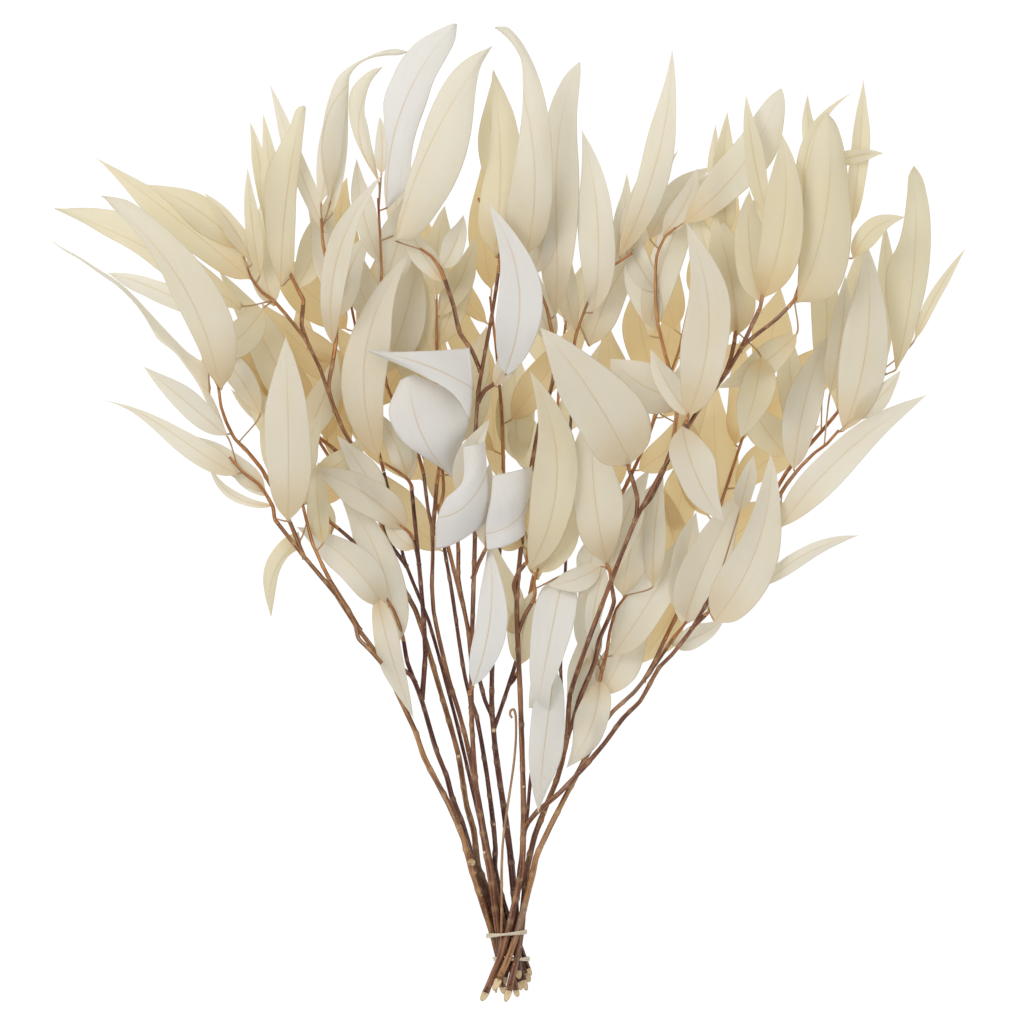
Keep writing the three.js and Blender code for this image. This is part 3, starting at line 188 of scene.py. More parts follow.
def thinned(points: Array, straight: float = 0.5) -> Array:
    """Leaves out the points that lie on a straight line between their neighbours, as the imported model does.

    Args:
        points: a line of points.
        straight: how far off the line a point may be.

    Returns:
        The points that are kept.
    """
    kept, first = [points[0]], 0
    for i in range(2, len(points)):
        chord = points[i] - points[first]
        between = points[first + 1:i] - points[first]
        t = np.clip(between @ chord / (chord @ chord), 0.0, 1.0)
        if np.linalg.norm(between - t[:, None] * chord, axis=1).max() > straight:
            first = i - 1
            kept.append(points[first])
    return np.array(kept + [points[-1]])


def spread(shape: tuple[int, ...], *rows: Any) -> Array:
    """Rows of numbers, each spread over the same grid, as the last axis of one array."""
    return np.stack([np.broadcast_to(row, shape) for row in rows], axis=-1)


def quads_between(index: Array) -> Array:
    """The four-sided faces between rings of points: each ring to the next one, and round to its start."""
    beside = np.roll(index, -1, axis=1)
    return np.stack([index[:-1], index[1:], beside[1:], beside[:-1]], axis=-1).reshape(-1, 4)


def pole_tris(pole: int, ring: Array, onward: bool) -> Array:
    """The triangles from a pole to a ring of points, turned onward or back."""
    beside = np.roll(ring, -1)
    pair = [ring, beside] if onward else [beside, ring]
    return np.stack([np.full(len(ring), pole), *pair], axis=-1)


@dataclass
class Shell:
    """A closed surface: points, faces, and two rows of numbers a point that its finish reads."""

    points: Array
    quads: Array
    tris: Array
    place: Array
    mood: Array
    quad_skin: Array
    tri_skin: Array

    @staticmethod
    def around(rings: Array, place: Array, mood: Array, skin: int = 0,
               ends: tuple[int, int] = (0, 0)) -> "Shell":
        """Joins rings of points into a closed shell, with a pole in the middle of each end.

        Args:
            rings: (sections, points round, 3), each ring clockwise as seen along the line.
            place: where each point is on the piece, for the finish.
            mood: further numbers for the finish.
            skin: material number of the side.
            ends: material numbers of the first and the last end.

        Returns:
            The shell.
        """
        sections, around = rings.shape[:2]
        index = np.arange(sections * around).reshape(sections, around)
        quads = quads_between(index)
        start = pole_tris(sections * around, index[0], True)
        stop = pole_tris(sections * around + 1, index[-1], False)

        def with_poles(rows: Array) -> Array:
            """The rows of all ring points, then the mean of the first ring and of the last."""
            return np.concatenate([rows.reshape(-1, 3), rows[:1].mean(axis=1), rows[-1:].mean(axis=1)])

        return Shell(
            with_poles(rings), quads, np.concatenate([start, stop]), with_poles(place), with_poles(mood),
            np.full(len(quads), skin), np.repeat(ends, around),
        )

    @staticmethod
    def joined(shells: Sequence["Shell"]) -> "Shell":
        """Several shells as one, each still closed by itself."""
        starts = np.cumsum([0] + [len(s.points) for s in shells[:-1]])
        rows = {name: np.concatenate([getattr(s, name) for s in shells])
                for name in ("points", "place", "mood", "quad_skin", "tri_skin")}
        faces = {name: np.concatenate([getattr(s, name) + n for s, n in zip(shells, starts)])
                 for name in ("quads", "tris")}
        return Shell(**rows, **faces)


def tube(line: Array, radii: Array, sides: int, mood: Array, skin: int = 0,
         ends: tuple[int, int] = (0, 0), slant: Span = (0.0, 0.0)) -> Shell:
    """A round tube along a line: centre + radius (side cos t + up sin t), with side level and up above it.

    Args:
        line: centre line.
        radii: radius at each point of the line, or one row for each with a radius a side.
        sides: points round the tube.
        mood: (points of the line, 3) numbers for the finish.
        skin: material number of the side.
        ends: material numbers of both ends.
        slant: how far the first end is cut aslant, to the side and upwards, as a share of the radius.

    Returns:
        The closed tube.
    """
    along = unit(np.gradient(line, axis=0))
    side = unit(np.cross(UP, along))
    up = np.cross(along, side)
    turn = -WHOLE_TURN * np.arange(sides) / sides
    reach = np.broadcast_to(radii.reshape(len(line), -1), (len(line), sides))
    across, above = reach * np.cos(turn), reach * np.sin(turn)
    rings = line[:, None] + side[:, None] * across[..., None] + up[:, None] * above[..., None]
    cut = slant[0] * across[0] + slant[1] * above[0]
    rings[0] += along[0] * cut[:, None]
    place = spread(reach.shape, arc_lengths(line)[:, None], np.cos(turn), np.sin(turn))
    shell = Shell.around(rings, place, np.repeat(mood[:, None], sides, axis=1), skin, ends)
    shell.mood[-2:, 1] = 0.0
    return shell


def make_piece(name: str, shell: Shell, finishes: Iterable[bpy.types.Material], node: str) -> bpy.types.Object:
    """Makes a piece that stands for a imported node, with its place in its mesh.

    Args:
        name: name of the piece.
        shell: its surface, in millimetres.
        finishes: its materials, in the order of the skin numbers.
        node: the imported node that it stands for.

    Returns:
        The piece.
    """
    mesh = bpy.data.meshes.new(name)
    mesh.from_pydata((shell.points * MM).tolist(), [], shell.quads.tolist() + shell.tris.tolist())
    skins = np.concatenate([shell.quad_skin, shell.tri_skin])
    smooth = np.concatenate([np.ones(len(shell.quads), bool), shell.tri_skin == 0])
    mesh.polygons.foreach_set("material_index", skins.astype(np.int32))
    mesh.polygons.foreach_set("use_smooth", smooth)
    for label, rows in (("place", shell.place), ("mood", shell.mood)):
        layer = mesh.attributes.new(label, "FLOAT_VECTOR", "POINT")
        layer.data.foreach_set("vector", rows.astype(np.float32).ravel())
    for material in finishes:
        mesh.materials.append(material)
    mesh.update()
    piece = bpy.data.objects.new(name, mesh)
    bpy.context.scene.collection.objects.link(piece)
    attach(piece, "root")
    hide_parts(node)
    LOG.info("%s: %d faces for %s", name, len(mesh.polygons), node)
    return piece


# Finishes


def colour(code: int) -> tuple[float, float, float, float]:
    """A colour from its six-digit screen code, as the linear numbers that a shader wants."""
    parts = [((code >> shift) & 255) / 255 for shift in (16, 8, 0)]
    linear = [c / 12.92 if c <= 0.04045 else ((c + 0.055) / 1.055) ** 2.4 for c in parts]
    return (*linear, 1.0)


def arithmetic(operation: str, turned: bool = False) -> Callable[["Value", Any], "Value"]:
    """Makes an operator of a Value.

    Args:
        operation: the step of arithmetic that it adds.
        turned: whether the value stands on the right.

    Returns:
        The operator's method.
    """
    def method(self: "Value", other: Any) -> "Value":
        """The step's result."""
        return self.math(operation, *((other, self) if turned else (self, other)))

    return method


class Value:
    """A number in a material's recipe. The usual operators on it add the steps that work them out."""

    __add__, __radd__ = arithmetic("ADD"), arithmetic("ADD", True)
    __sub__, __rsub__ = arithmetic("SUBTRACT"), arithmetic("SUBTRACT", True)
    __mul__, __rmul__ = arithmetic("MULTIPLY"), arithmetic("MULTIPLY", True)

    def __init__(self, recipe: "Recipe", socket: bpy.types.NodeSocket) -> None:
        """Wraps a socket of that recipe."""
        self.recipe = recipe
        self.socket = socket

    def math(self, operation: str, *numbers: Any) -> "Value":
        """One step of arithmetic on the given numbers, in order."""
        node = self.recipe.step("ShaderNodeMath", {"operation": operation}, dict(enumerate(numbers)))
        return Value(self.recipe, node.outputs[0])

    def __abs__(self) -> "Value":
        """The size of self."""
        return self.math("ABSOLUTE", self)

    def part(self) -> "Value":
        """What is left of self past its last whole number."""
        return self.math("FRACT", self)

    def between(self, low: float, high: float) -> "Value":
        """A smooth step of self, 0 at low and 1 at high."""
        rising = low < high
        node = self.recipe.step(
            "ShaderNodeMapRange", {"interpolation_type": "SMOOTHSTEP"},
            {"Value": self, "From Min": min(low, high), "From Max": max(low, high),
             "To Min": 0.0 if rising else 1.0, "To Max": 1.0 if rising else 0.0},
        )
        return Value(self.recipe, node.outputs[0])


class Recipe:
    """A material and the steps that make its look."""

    def __init__(self, name: str) -> None:
        """Starts an empty material of that name."""
        self.material = bpy.data.materials.new(name)
        self.material.use_nodes = True
        self.material.node_tree.nodes.clear()

    def step(self, kind: str, settings: Mapping[str, Any] | None = None,
             inputs: Mapping[Any, Any] | None = None) -> bpy.types.Node:
        """Adds one node.

        Args:
            kind: the node's type.
            settings: its own settings, which are set first.
            inputs: a value, or what to link, for each socket by number, identifier or name.

        Returns:
            The node.
        """
        tree = self.material.node_tree
        node = tree.nodes.new(kind)
        for name, setting in (settings or {}).items():
            setattr(node, name, setting)
        for key, given in (inputs or {}).items():
            socket = node.inputs[key] if isinstance(key, int) else next(
                s for wanted in ("identifier", "name") for s in node.inputs if getattr(s, wanted) == key)
            source = given.socket if isinstance(given, Value) else given
            if isinstance(source, bpy.types.NodeSocket):
                tree.links.new(source, socket)
            else:
                socket.default_value = source
        return node

    def attribute(self, name: str) -> bpy.types.NodeSocket:
        """The vector that a mesh keeps under that name."""
        return self.step("ShaderNodeAttribute", {"attribute_name": name}).outputs["Vector"]

    def split(self, vector: bpy.types.NodeSocket) -> list[Value]:
        """The three numbers of a vector."""
        return [Value(self, s) for s in self.step("ShaderNodeSeparateXYZ", None, {0: vector}).outputs]

    def gather(self, x: Any, y: Any, z: Any) -> bpy.types.NodeSocket:
        """A vector of three numbers."""
        return self.step("ShaderNodeCombineXYZ", None, {0: x, 1: y, 2: z}).outputs[0]

    def noise(self, vector: bpy.types.NodeSocket, scale: float = 1.0, detail: float = 2.0) -> Value:
        """Soft noise about 0.5."""
        node = self.step("ShaderNodeTexNoise", {"noise_dimensions": "3D"},
                         {"Vector": vector, "Scale": scale, "Detail": detail, "Roughness": 0.5})
        return Value(self, node.outputs[0])

    def blend(self, share: Any, low: Any, high: Any) -> bpy.types.NodeSocket:
        """A colour between two, by a share from 0 to 1."""
        node = self.step("ShaderNodeMix", {"data_type": "RGBA"},
                         {"Factor_Float": share, "A_Color": low, "B_Color": high})
        return next(s for s in node.outputs if s.identifier == "Result_Color")

    def surface(self, tint: Any, roughness: Any, height: Value, relief: float,
                gloss: float) -> bpy.types.Node:
        """The plain surface shader with a relief.

        Args:
            tint: its colour.
            roughness: its roughness.
            height: the relief, as a number from 0 to 1.
            relief: depth of the relief, in millimetres.
            gloss: level of its shine.

        Returns:
            The shader's node.
        """
        bump = self.step("ShaderNodeBump", None, {"Height": height, "Distance": relief * MM, "Strength": 1.0})
        return self.step("ShaderNodeBsdfPrincipled", None, {
            "Base Color": tint, "Roughness": roughness, "Specular IOR Level": gloss,
            "Normal": bump.outputs[0],
        })

    def done(self, shader: bpy.types.Node) -> bpy.types.Material:
        """Shows that shader and gives back the material."""
        self.step("ShaderNodeOutputMaterial", None, {"Surface": shader.outputs[0]})
        return self.material


@dataclass(frozen=True)
class LeafFinish:
    """A bleached, papery leaf: its colours, and the light that comes through it."""

    name: str
    face: int
    warm: int
    rib: int
    base: int
    glow: int
    warmth: float
    through: float
    cool: int = 0xEBEAEA
    tip: int = 0xEBE7DF
    stalk: int = 0xA9733F
    roughness: float = 0.5
    vein_lean: float = 1.3
    vein_pitch: float = 0.28
    relief: float = 0.12
    gloss: float = 0.35

    def material(self) -> bpy.types.Material:
        """The leaf's material.

        Clouds of warmer colour, fine grain along the blade, a thin midrib, faint slanted veins, a tan base,
        a paler tip and a drier edge. Veins follow (run - vein lean * reach) * vein pitch. A leaf whose shade
        is below nothing is one of the whiter ones, and lets less light through.

        Returns:
            The material.
        """
        recipe = Recipe(self.name)
        run, offset, edge = recipe.split(recipe.attribute("place"))
        along, tint, shade = recipe.split(recipe.attribute("mood"))
        reach = abs(offset)
        clouds = recipe.noise(recipe.gather(run * 0.03, offset * 0.07, tint * 61.0), detail=1.0)
        grain = recipe.noise(recipe.gather(run * 0.05, offset * 1.1, tint * 97.0), detail=2.0)
        warmth = clouds.between(0.35, 0.75) * self.warmth + shade * self.warmth
        cool = shade.between(0.0, -0.5)
        body = recipe.blend(warmth, colour(self.face), colour(self.warm))
        body = recipe.blend(cool, body, colour(self.cool))
        body = recipe.blend(along.between(0.35, 1.0) * 0.45, body, colour(self.tip))
        body = recipe.blend(grain.between(0.5, 0.8) * 0.1, body, colour(self.rib))
        slanted = ((run - reach * self.vein_lean) * self.vein_pitch + clouds * 1.5).part()
        vein = slanted.between(0.0, 0.2) * slanted.between(0.4, 0.2) * edge.between(0.98, 0.8)
        rib = reach.between(0.62, 0.12) * along.between(1.05, 0.5)
        margin = edge.between(0.93, 1.0)
        marks = vein * 0.06 + rib * 0.5 + margin * 0.16
        body = recipe.blend(marks, body, colour(self.rib))
        body = recipe.blend(along.between(0.32, 0.0) * (0.2 + 0.4 * shade), body, colour(self.base))
        body = recipe.blend(along.between(0.01, -0.12), body, colour(self.stalk))
        height = grain * 0.5 + rib * 0.3 - vein * 0.12
        skin = recipe.surface(body, self.roughness + grain * 0.15, height, self.relief, self.gloss)
        glow = recipe.step("ShaderNodeBsdfTranslucent", None, {"Color": colour(self.glow)})
        inputs = {0: self.through - cool * 0.2, 1: skin.outputs[0], 2: glow.outputs[0]}
        return recipe.done(recipe.step("ShaderNodeMixShader", None, inputs))


@dataclass(frozen=True)
class BarkFinish:
    """Smooth young bark: streaks between a dark and a light brown, pale specks, paler knuckles and painted
    shade on its flanks.
    """

    name: str
    dark: int
    light: int
    speck: int
    # edge: the colour of the painted shade on the flanks
    edge: int = 0x2C140B
    grey: int = 0x9C8D80
    roughness: float = 0.42
    relief: float = 0.3
    gloss: float = 0.4

    def material(self) -> bpy.types.Material:
        """The bark's material: streaks are noise stretched along the stem, and specks are its highest peaks.

        The flanks carry painted shade: they are darker than the top, by the up part of each point's way out
        from the middle.

        Returns:
            The material.
        """
        recipe = Recipe(self.name)
        run, level, above = recipe.split(recipe.attribute("place"))
        knuckle, _, tint = recipe.split(recipe.attribute("mood"))
        streak = recipe.noise(recipe.gather(run * 0.045, level * 1.3, above * 1.3 + tint * 17.0), detail=4.0)
        patch = recipe.noise(recipe.gather(run * 0.018, level * 0.5, above * 0.5 + tint * 29.0), detail=2.0)
        dot = recipe.noise(recipe.gather(run * 0.75, level * 2.2, above * 2.2 + tint * 7.0), detail=1.0)
        body = recipe.blend(streak.between(0.38, 0.62), colour(self.dark), colour(self.light))
        body = recipe.blend(patch.between(0.5, 0.72) * 0.55, body, colour(self.dark))
        body = recipe.blend(patch.between(0.46, 0.28) * 0.4, body, colour(self.grey))
        # Painted shade: the flanks, turned away from the light above, blend towards the edge colour.
        body = recipe.blend(above.between(0.85, -0.1) * 0.62, body, colour(self.edge))
        body = recipe.blend(dot.between(0.66, 0.74) * 0.75 + knuckle * 0.28, body, colour(self.speck))
        height = streak * 0.6 + dot * 0.4
        roughness = self.roughness + streak * 0.2
        return recipe.done(recipe.surface(body, roughness, height, self.relief, self.gloss))


@dataclass(frozen=True)
class CutFinish:
    """Fresh cut wood, pale, with a darker rim and pith."""

    name: str = "cut_wood"
    pale: int = 0xE6CFA4
    brown: int = 0xA87C4C
    roughness: float = 0.8
    relief: float = 0.15
    gloss: float = 0.2

    def material(self) -> bpy.types.Material:
        """The cut's material: rings by the distance from the pith, with a dusty grain.

        Returns:
            The material.
        """
        recipe = Recipe(self.name)
        away = recipe.split(recipe.attribute("mood"))[1]
        dust = recipe.noise(recipe.step("ShaderNodeTexCoord").outputs["Object"], 900.0, 3.0)
        body = recipe.blend(away.between(0.82, 1.0) + away.between(0.22, 0.08) * 0.6, colour(self.pale),
                            colour(self.brown))
        body = recipe.blend(dust.between(0.4, 0.8) * 0.35, body, colour(self.brown))
        return recipe.done(recipe.surface(body, self.roughness, dust, self.relief, self.gloss))


@dataclass(frozen=True)
class CordFinish:
    """Soft pale twine of two plies."""

    name: str = "tie_twine"
    pale: int = 0xE4DAC4
    # The darker colour: painted shade in the lay between the plies, and the tone of the loose fibres.
    lay_shade_and_fibre: int = 0xA8926C
    roughness: float = 0.85
    relief: float = 0.2
    gloss: float = 0.15

    def material(self) -> bpy.types.Material:
        """The twine's material: darker in the lay between the plies, as painted shade, with loose fibres along
        it.

        Returns:
            The material.
        """
        recipe = Recipe(self.name)
        run, level, above = recipe.split(recipe.attribute("place"))
        lay = recipe.split(recipe.attribute("mood"))[0]
        fibre = recipe.noise(recipe.gather(run * 0.9, level * 4.0, above * 4.0), detail=4.0)
        # Painted shade in the lay between the plies, plus a darker fibre tone.
        body = recipe.blend(lay.between(0.1, 0.9) * 0.7 + fibre.between(0.5, 0.8) * 0.3, colour(self.pale),
                            colour(self.lay_shade_and_fibre))
        return recipe.done(recipe.surface(body, self.roughness, fibre, self.relief, self.gloss))


# Painted light: the middle and back finishes are yellower than the front, partly the leaves' own colour and
# partly painted in for light filtered through the leaves above.
LEAF_FINISHES = {
    Tone.FRONT: LeafFinish("leaf_front", 0xECE9E1, 0xEADFC6, 0xCDA65C, 0xDCB66E, 0xF7F4E7, 0.3, 0.5),
    Tone.MIDDLE: LeafFinish("leaf_middle", 0xEBE6D8, 0xE9DCB8, 0xC9A255, 0xDCB266, 0xF6F1DC, 0.34, 0.54),
    Tone.BACK: LeafFinish("leaf_back", 0xECE1C8, 0xE8CD92, 0xC99B4E, 0xDCAB56, 0xF5EACC, 0.42, 0.62),
}
BARK_FINISHES = {
    Bark.DARK: BarkFinish("bark_dark", 0x44201A, 0x7A4936, 0xC6A384),
    Bark.BROWN: BarkFinish("bark_brown", 0x5E3422, 0x9A6946, 0xCFA980),
    Bark.TAN: BarkFinish("bark_tan", 0x70442A, 0xB18152, 0xDCBB8F),
    Bark.PALE: BarkFinish("bark_pale", 0x93683F, 0xC69C72, 0xE4CBA4),
}
# The fourth colour of the twig bark is the painted shade on its flanks.
TWIG_FINISH = BarkFinish("twig_bark", 0x8C5028, 0xC48A50, 0xDCB684, 0x6A3718)


# Leaves


MATCH = 0.5
PULL_BACK = 0.55
TWIG_START = 3.6
LAST_SHARE = 0.96
SHORT_STALK = 9.0
LONG_LEAF = 72.0
LONG_STATIONS = (0.18, 0.42, 0.66, 0.86, 1.0)
SHORT_STATIONS = (0.26, 0.62, 1.0)
ROLL_SPREAD = 0.5
POINTED = 0.5
PRESSED_HEIGHT = 0.35
STALK_STEPS = 9
BLADE_STEPS = 38
HALF_ACROSS = (0.05, 0.2, 0.42, 0.62, 0.8, 0.93, 1.0)
ACROSS = np.array([-v for v in reversed(HALF_ACROSS)] + [0.0] + list(HALF_ACROSS))
EVEN_SHARE = 0.55
HOOK = 0.07
HOOK_FROM = 0.4
STALK_PULL = 0.6
END_ROUNDING = 14
TIP_SLIMMING = 0.22
STALK_HALF = (0.45, 0.18)
STALK_THICK = (0.8, 0.4)
BLADE_THICK = (0.4, 0.14)
EDGE_DRIFT = 0.13
DRIFT_SWINGS = (1.4, 2.6)
DRIFT_APART = (0.6, 2.4)
FOLD = (0.05, 0.22)
WAVE = (0.4, 1.3)
WAVE_WIDTH = 20.0
WAVE_MOST = 1.2
RIPPLE_RUN = (8.0, 16.0)
RIPPLE_APART = (0.4, 1.6)
FULL_STALK = 12.0
TURNED_SHARE = 0.16
TURNED_MOST = 7.0


def along_line(points: Array, distance: float) -> Array:
    """The point of a twig at a distance along it, kept off its first few millimetres and its very end."""
    left = max(distance, TWIG_START)
    for i in range(len(points) - 1):
        long = float(np.linalg.norm(points[i + 1] - points[i]))
        if left <= long or i + 2 == len(points):
            return points[i] + (points[i + 1] - points[i]) * min(left / long, LAST_SHARE)
        left -= long
    return points[0]


def nearest_on_line(points: Array, x: float, y: float) -> tuple[float, float]:
    """Where a line passes nearest to a place in the plan.

    Args:
        points: the line.
        x: place across.
        y: place along the bunch.

    Returns:
        The gap in the plan, and the distance along the line.
    """
    start, step = points[:-1, :2], np.diff(points[:, :2], axis=0)
    t = ((np.array([x, y]) - start) * step).sum(axis=1) / ((step**2).sum(axis=1) + 1e-9)
    t = np.clip(t, 0.0, 1.0)
    gap = np.linalg.norm(start + t[:, None] * step - (x, y), axis=1)
    k = int(np.argmin(gap))
    run = arc_lengths(points)
    return float(gap[k]), float(run[k] + t[k] * (run[k + 1] - run[k]))


@dataclass(frozen=True)
class Leaf:
    """One leaf: its midrib's ends in the plan, its width, its bend to the left and its rise to the tip."""

    base_x: float
    base_y: float
    tip_x: float
    tip_y: float
    width: float
    bend: float
    rise: float
    up: float = 0.0
    skew: float = 0.0
    outline: Outline = WILLOW
    roll: float | None = None
    origin: Point | None = None
    pressed: bool = False
    cool: bool = False

    @property
    def length(self) -> float:
        """Distance from base to tip in the plan."""
        return math.hypot(self.tip_x - self.base_x, self.tip_y - self.base_y)

    def midrib(self, u: Array) -> Array:
        """Midrib in the plan: chord + left normal * bend * 4 u (1 - u) (1 + skew (2 u - 1))."""
        base = np.array([self.base_x, self.base_y])
        chord = np.array([self.tip_x, self.tip_y]) - base
        normal = np.array([-chord[1], chord[0]]) / self.length
        off = self.bend * 4.0 * u * (1.0 - u) * (1.0 + self.skew * (2.0 * u - 1.0))
        return base + u[:, None] * chord + off[:, None] * normal

    def normals(self, u: Array) -> Array:
        """Left normal of the midrib in the plan."""
        step = self.midrib(np.minimum(u + 0.02, 1.0)) - self.midrib(np.maximum(u - 0.02, 0.0))
        return unit(np.stack([-step[:, 1], step[:, 0]], axis=1))


@dataclass(frozen=True)
class Drawn:
    """A folded or curled leaf whose two edges are drawn, from its base on: left ones as it points.

    Its midrib runs from one point to another and bends to the left between them. Lift is how far its middle
    stands above its packed height.
    """

    left: tuple[Point, ...]
    right: tuple[Point, ...]
    rib: tuple[Point, Point, float]
    curl: float
    turned: float = 0.0
    lift: float = 0.0

    @staticmethod
    def edge(points: tuple[Point, ...], u: Array) -> Array:
        """An edge at shares u of its own length."""
        corners = np.array(points, float)
        run = arc_lengths(corners)
        return curve_through(run, corners, u * run[-1])

    def rib_offset(self, plan: Array) -> Array:
        """How far left of the midrib each point is: (p - a) . normal - bend * 4 t (1 - t)."""
        start, stop = np.array(self.rib[0]), np.array(self.rib[1])
        chord = stop - start
        normal = np.array([-chord[1], chord[0]]) / np.linalg.norm(chord)
        t = (plan - start) @ chord / (chord @ chord)
        return (plan - start) @ normal - self.rib[2] * 4.0 * t * (1.0 - t)


class Blade:
    """A leaf in its place on a twig."""

    def __init__(self, leaf: Leaf, twig: Array, draw: Callable[[], float], free: bool = False,
                 drawn: Drawn | None = None) -> None:
        """Finds the leaf's root on its twig, and its roll and twist.

        Args:
            leaf: the leaf's row.
            twig: centre line of the twig.
            draw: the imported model's random source, or one half for a leaf that it doesn't have.
            free: whether its tip may hook to a side.
            drawn: its drawn edges, if it has them.
        """
        self.leaf = leaf
        self.free, self.drawn = free, drawn
        gap, run = nearest_on_line(twig, *(leaf.origin or (leaf.base_x, leaf.base_y)))
        self.root = along_line(twig, run - PULL_BACK * gap)
        self.stalk = math.hypot(leaf.base_x - self.root[0], leaf.base_y - self.root[1])
        tilt, turn = draw() - 0.5, draw() - 0.5
        self.roll = 0.0 if leaf.pressed else tilt * ROLL_SPREAD if leaf.roll is None else leaf.roll
        self.twist = 0.0 if leaf.pressed or leaf.roll else turn * ROLL_SPREAD
        shares = LONG_STATIONS if leaf.length > LONG_LEAF else SHORT_STATIONS
        self.stations = np.array(((0.0,) if self.stalk > SHORT_STALK else ()) + shares)
        level = self.root[2] + leaf.up + leaf.rise * self.stations
        self.heights = np.full(len(self.stations), PRESSED_HEIGHT) if leaf.pressed else level

    def read_heights(self, corners: Array) -> int:
        """Reads the blade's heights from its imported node.

        The height of a station is the mean of the corners found beside its two edges, less the roll there.

        Args:
            corners: the node's corners, in millimetres.

        Returns:
            How many stations had no corner, and took their height from their neighbours.
        """
        if self.leaf.pressed:
            return 0
        u = self.stations
        half = np.maximum(self.leaf.width / 2.0 * self.leaf.outline.share(u), POINTED)
        half = np.where((u == 1.0) & (half <= POINTED), 0.0, half)
        half = np.where(u == 0.0, np.maximum(half, 1.1), half)
        middle, normal = self.leaf.midrib(u), self.leaf.normals(u)
        slope = self.roll + self.twist * (u - 0.5)
        found = []
        for side in (-1.0, 1.0):
            spot = middle + normal * (half * side)[:, None]
            near = np.linalg.norm(spot[:, None] - corners[None, :, :2], axis=2) < MATCH
            total = (near * corners[:, 2]).sum(axis=1)
            found.append(np.where(near.any(axis=1), total / np.maximum(near.sum(axis=1), 1), np.nan)
                         - slope * half * side)
        heights = np.nanmean(np.array(found), axis=0)
        known = ~np.isnan(heights)
        at = np.concatenate([[-self.stalk / self.leaf.length], u[known]])
        self.heights = np.interp(u, at, np.concatenate([[self.root[2]], heights[known]]))
        return int((~known).sum())

    def centre_line(self, q: Array, u: Array, hook: float) -> tuple[Array, Array]:
        """The middle of the stalk and of the blade, at the heights read from the node.

        Stalk: a Hermite curve from the root to the base. Blade: the midrib, which hooks near its tip, or the
        middle of the drawn edges.

        Args:
            q: shares of the stalk.
            u: shares of the blade.
            hook: how far the tip hooks to the left.

        Returns:
            The line, and the distance from the base to each of its points.
        """
        hooked = hook * np.clip((u - HOOK_FROM) / (1.0 - HOOK_FROM), 0.0, 1.0) ** 2
        mid = self.leaf.midrib(u) + self.leaf.normals(u) * hooked[:, None]
        if self.drawn:
            mid = (self.drawn.edge(self.drawn.left, u) + self.drawn.edge(self.drawn.right, u)) / 2.0
        base = mid[0]
        ahead = unit(mid[1] - base) * self.stalk * STALK_PULL
        reach = base - self.root[:2]
        h = q[:, None]
        stalk = ((1 - h) ** 2 * ((1 + 2 * h) * self.root[:2] + h * reach)
                 + h**2 * ((3 - 2 * h) * base + (h - 1) * ahead))
        run = np.concatenate([(q - 1.0) * self.stalk, u * self.leaf.length])
        knots = np.concatenate([[-self.stalk], self.stations * self.leaf.length])
        levels = np.concatenate([[self.root[2]], self.heights])[:, None]
        height = curve_through(knots, levels, run, calm=True)
        if self.drawn:
            height[STALK_STEPS:, 0] += self.drawn.lift * np.sin(math.pi * u)
        return np.concatenate([np.concatenate([stalk, mid]), height], axis=1), run

    def widths(self, q: Array, u: Array) -> tuple[Array, Array]:
        """Half the width and the thickness, along the stalk and then along the blade."""
        outline = self.leaf.outline
        rounded = np.sqrt(np.clip(1.0 - np.abs(2.0 * u - 1.0) ** END_ROUNDING, 0.0, 1.0))
        ends = 1.0 if outline.blunt else rounded
        slender = 1.0 - TIP_SLIMMING * ease(u, 0.55, 1.0) * (not outline.blunt)
        broad = np.hypot(self.leaf.width / 2.0 * outline.share(u) * ends * slender, 0.5 * (1.0 - u) + 0.1)
        half = np.concatenate([STALK_HALF[0] + STALK_HALF[1] * q**2, broad])
        thick = np.concatenate([STALK_THICK[0] - STALK_THICK[1] * q, BLADE_THICK[0] - BLADE_THICK[1] * u])
        return half, thick

    def relief(self, fine: Array, grown: Array, half: Array, run: Array,
               life: np.random.Generator) -> tuple[Array, Array]:
        """How far out each point across the blade is, and how far above its middle.

        Above: fold half (|v|^1.3 - 0.45) + wave v^2 sin - turned |2 u - 1|^4 - curl (v^2 - 0.5).

        Args:
            fine: share of the blade of each section, 0 on the stalk.
            grown: 0 at the root, up to 1 from the base on.
            half: half the width of each section.
            run: distance of each section from the base.
            life: source of the small differences between leaves.

        Returns:
            The share v of half the width, from -1 to 1, and the height, for each section and point.
        """
        leaf = self.leaf
        swell = np.sin(math.pi * fine)[:, None] ** 0.6 * grown[:, None]
        sides = np.sign(ACROSS)[None, :]
        uneven = np.sin(math.pi * fine[:, None] * life.uniform(*DRIFT_SWINGS)
                        + sides * life.uniform(*DRIFT_APART) + life.uniform(*ANY_PHASE))
        plain = bool(self.drawn) or leaf.outline.blunt
        v = ACROSS[None, :] * (1.0 + (0.0 if plain else EDGE_DRIFT) * swell * uneven)
        bent = not leaf.pressed and not self.drawn
        fold = life.uniform(*FOLD) * life.choice([-1.0, 1.0, 1.0]) * bent
        wave = life.uniform(*WAVE) * min(leaf.width / WAVE_WIDTH, WAVE_MOST) * (not leaf.pressed)
        ripple = np.sin(run[:, None] / life.uniform(*RIPPLE_RUN) + life.uniform(*ANY_PHASE)
                        + sides * life.uniform(*RIPPLE_APART))
        camber = swell * (fold * half[:, None] * (np.abs(v) ** 1.3 - 0.45) + wave * v**2 * ripple)
        if plain:
            turned = self.drawn.turned if self.drawn else min(TURNED_SHARE * leaf.length, TURNED_MOST)
            curl = self.drawn.curl if self.drawn else 0.0
            camber = camber - grown[:, None] * (turned * np.abs(2.0 * fine[:, None] - 1.0) ** 4
                                                + curl * (v**2 - 0.5))
        return v, camber

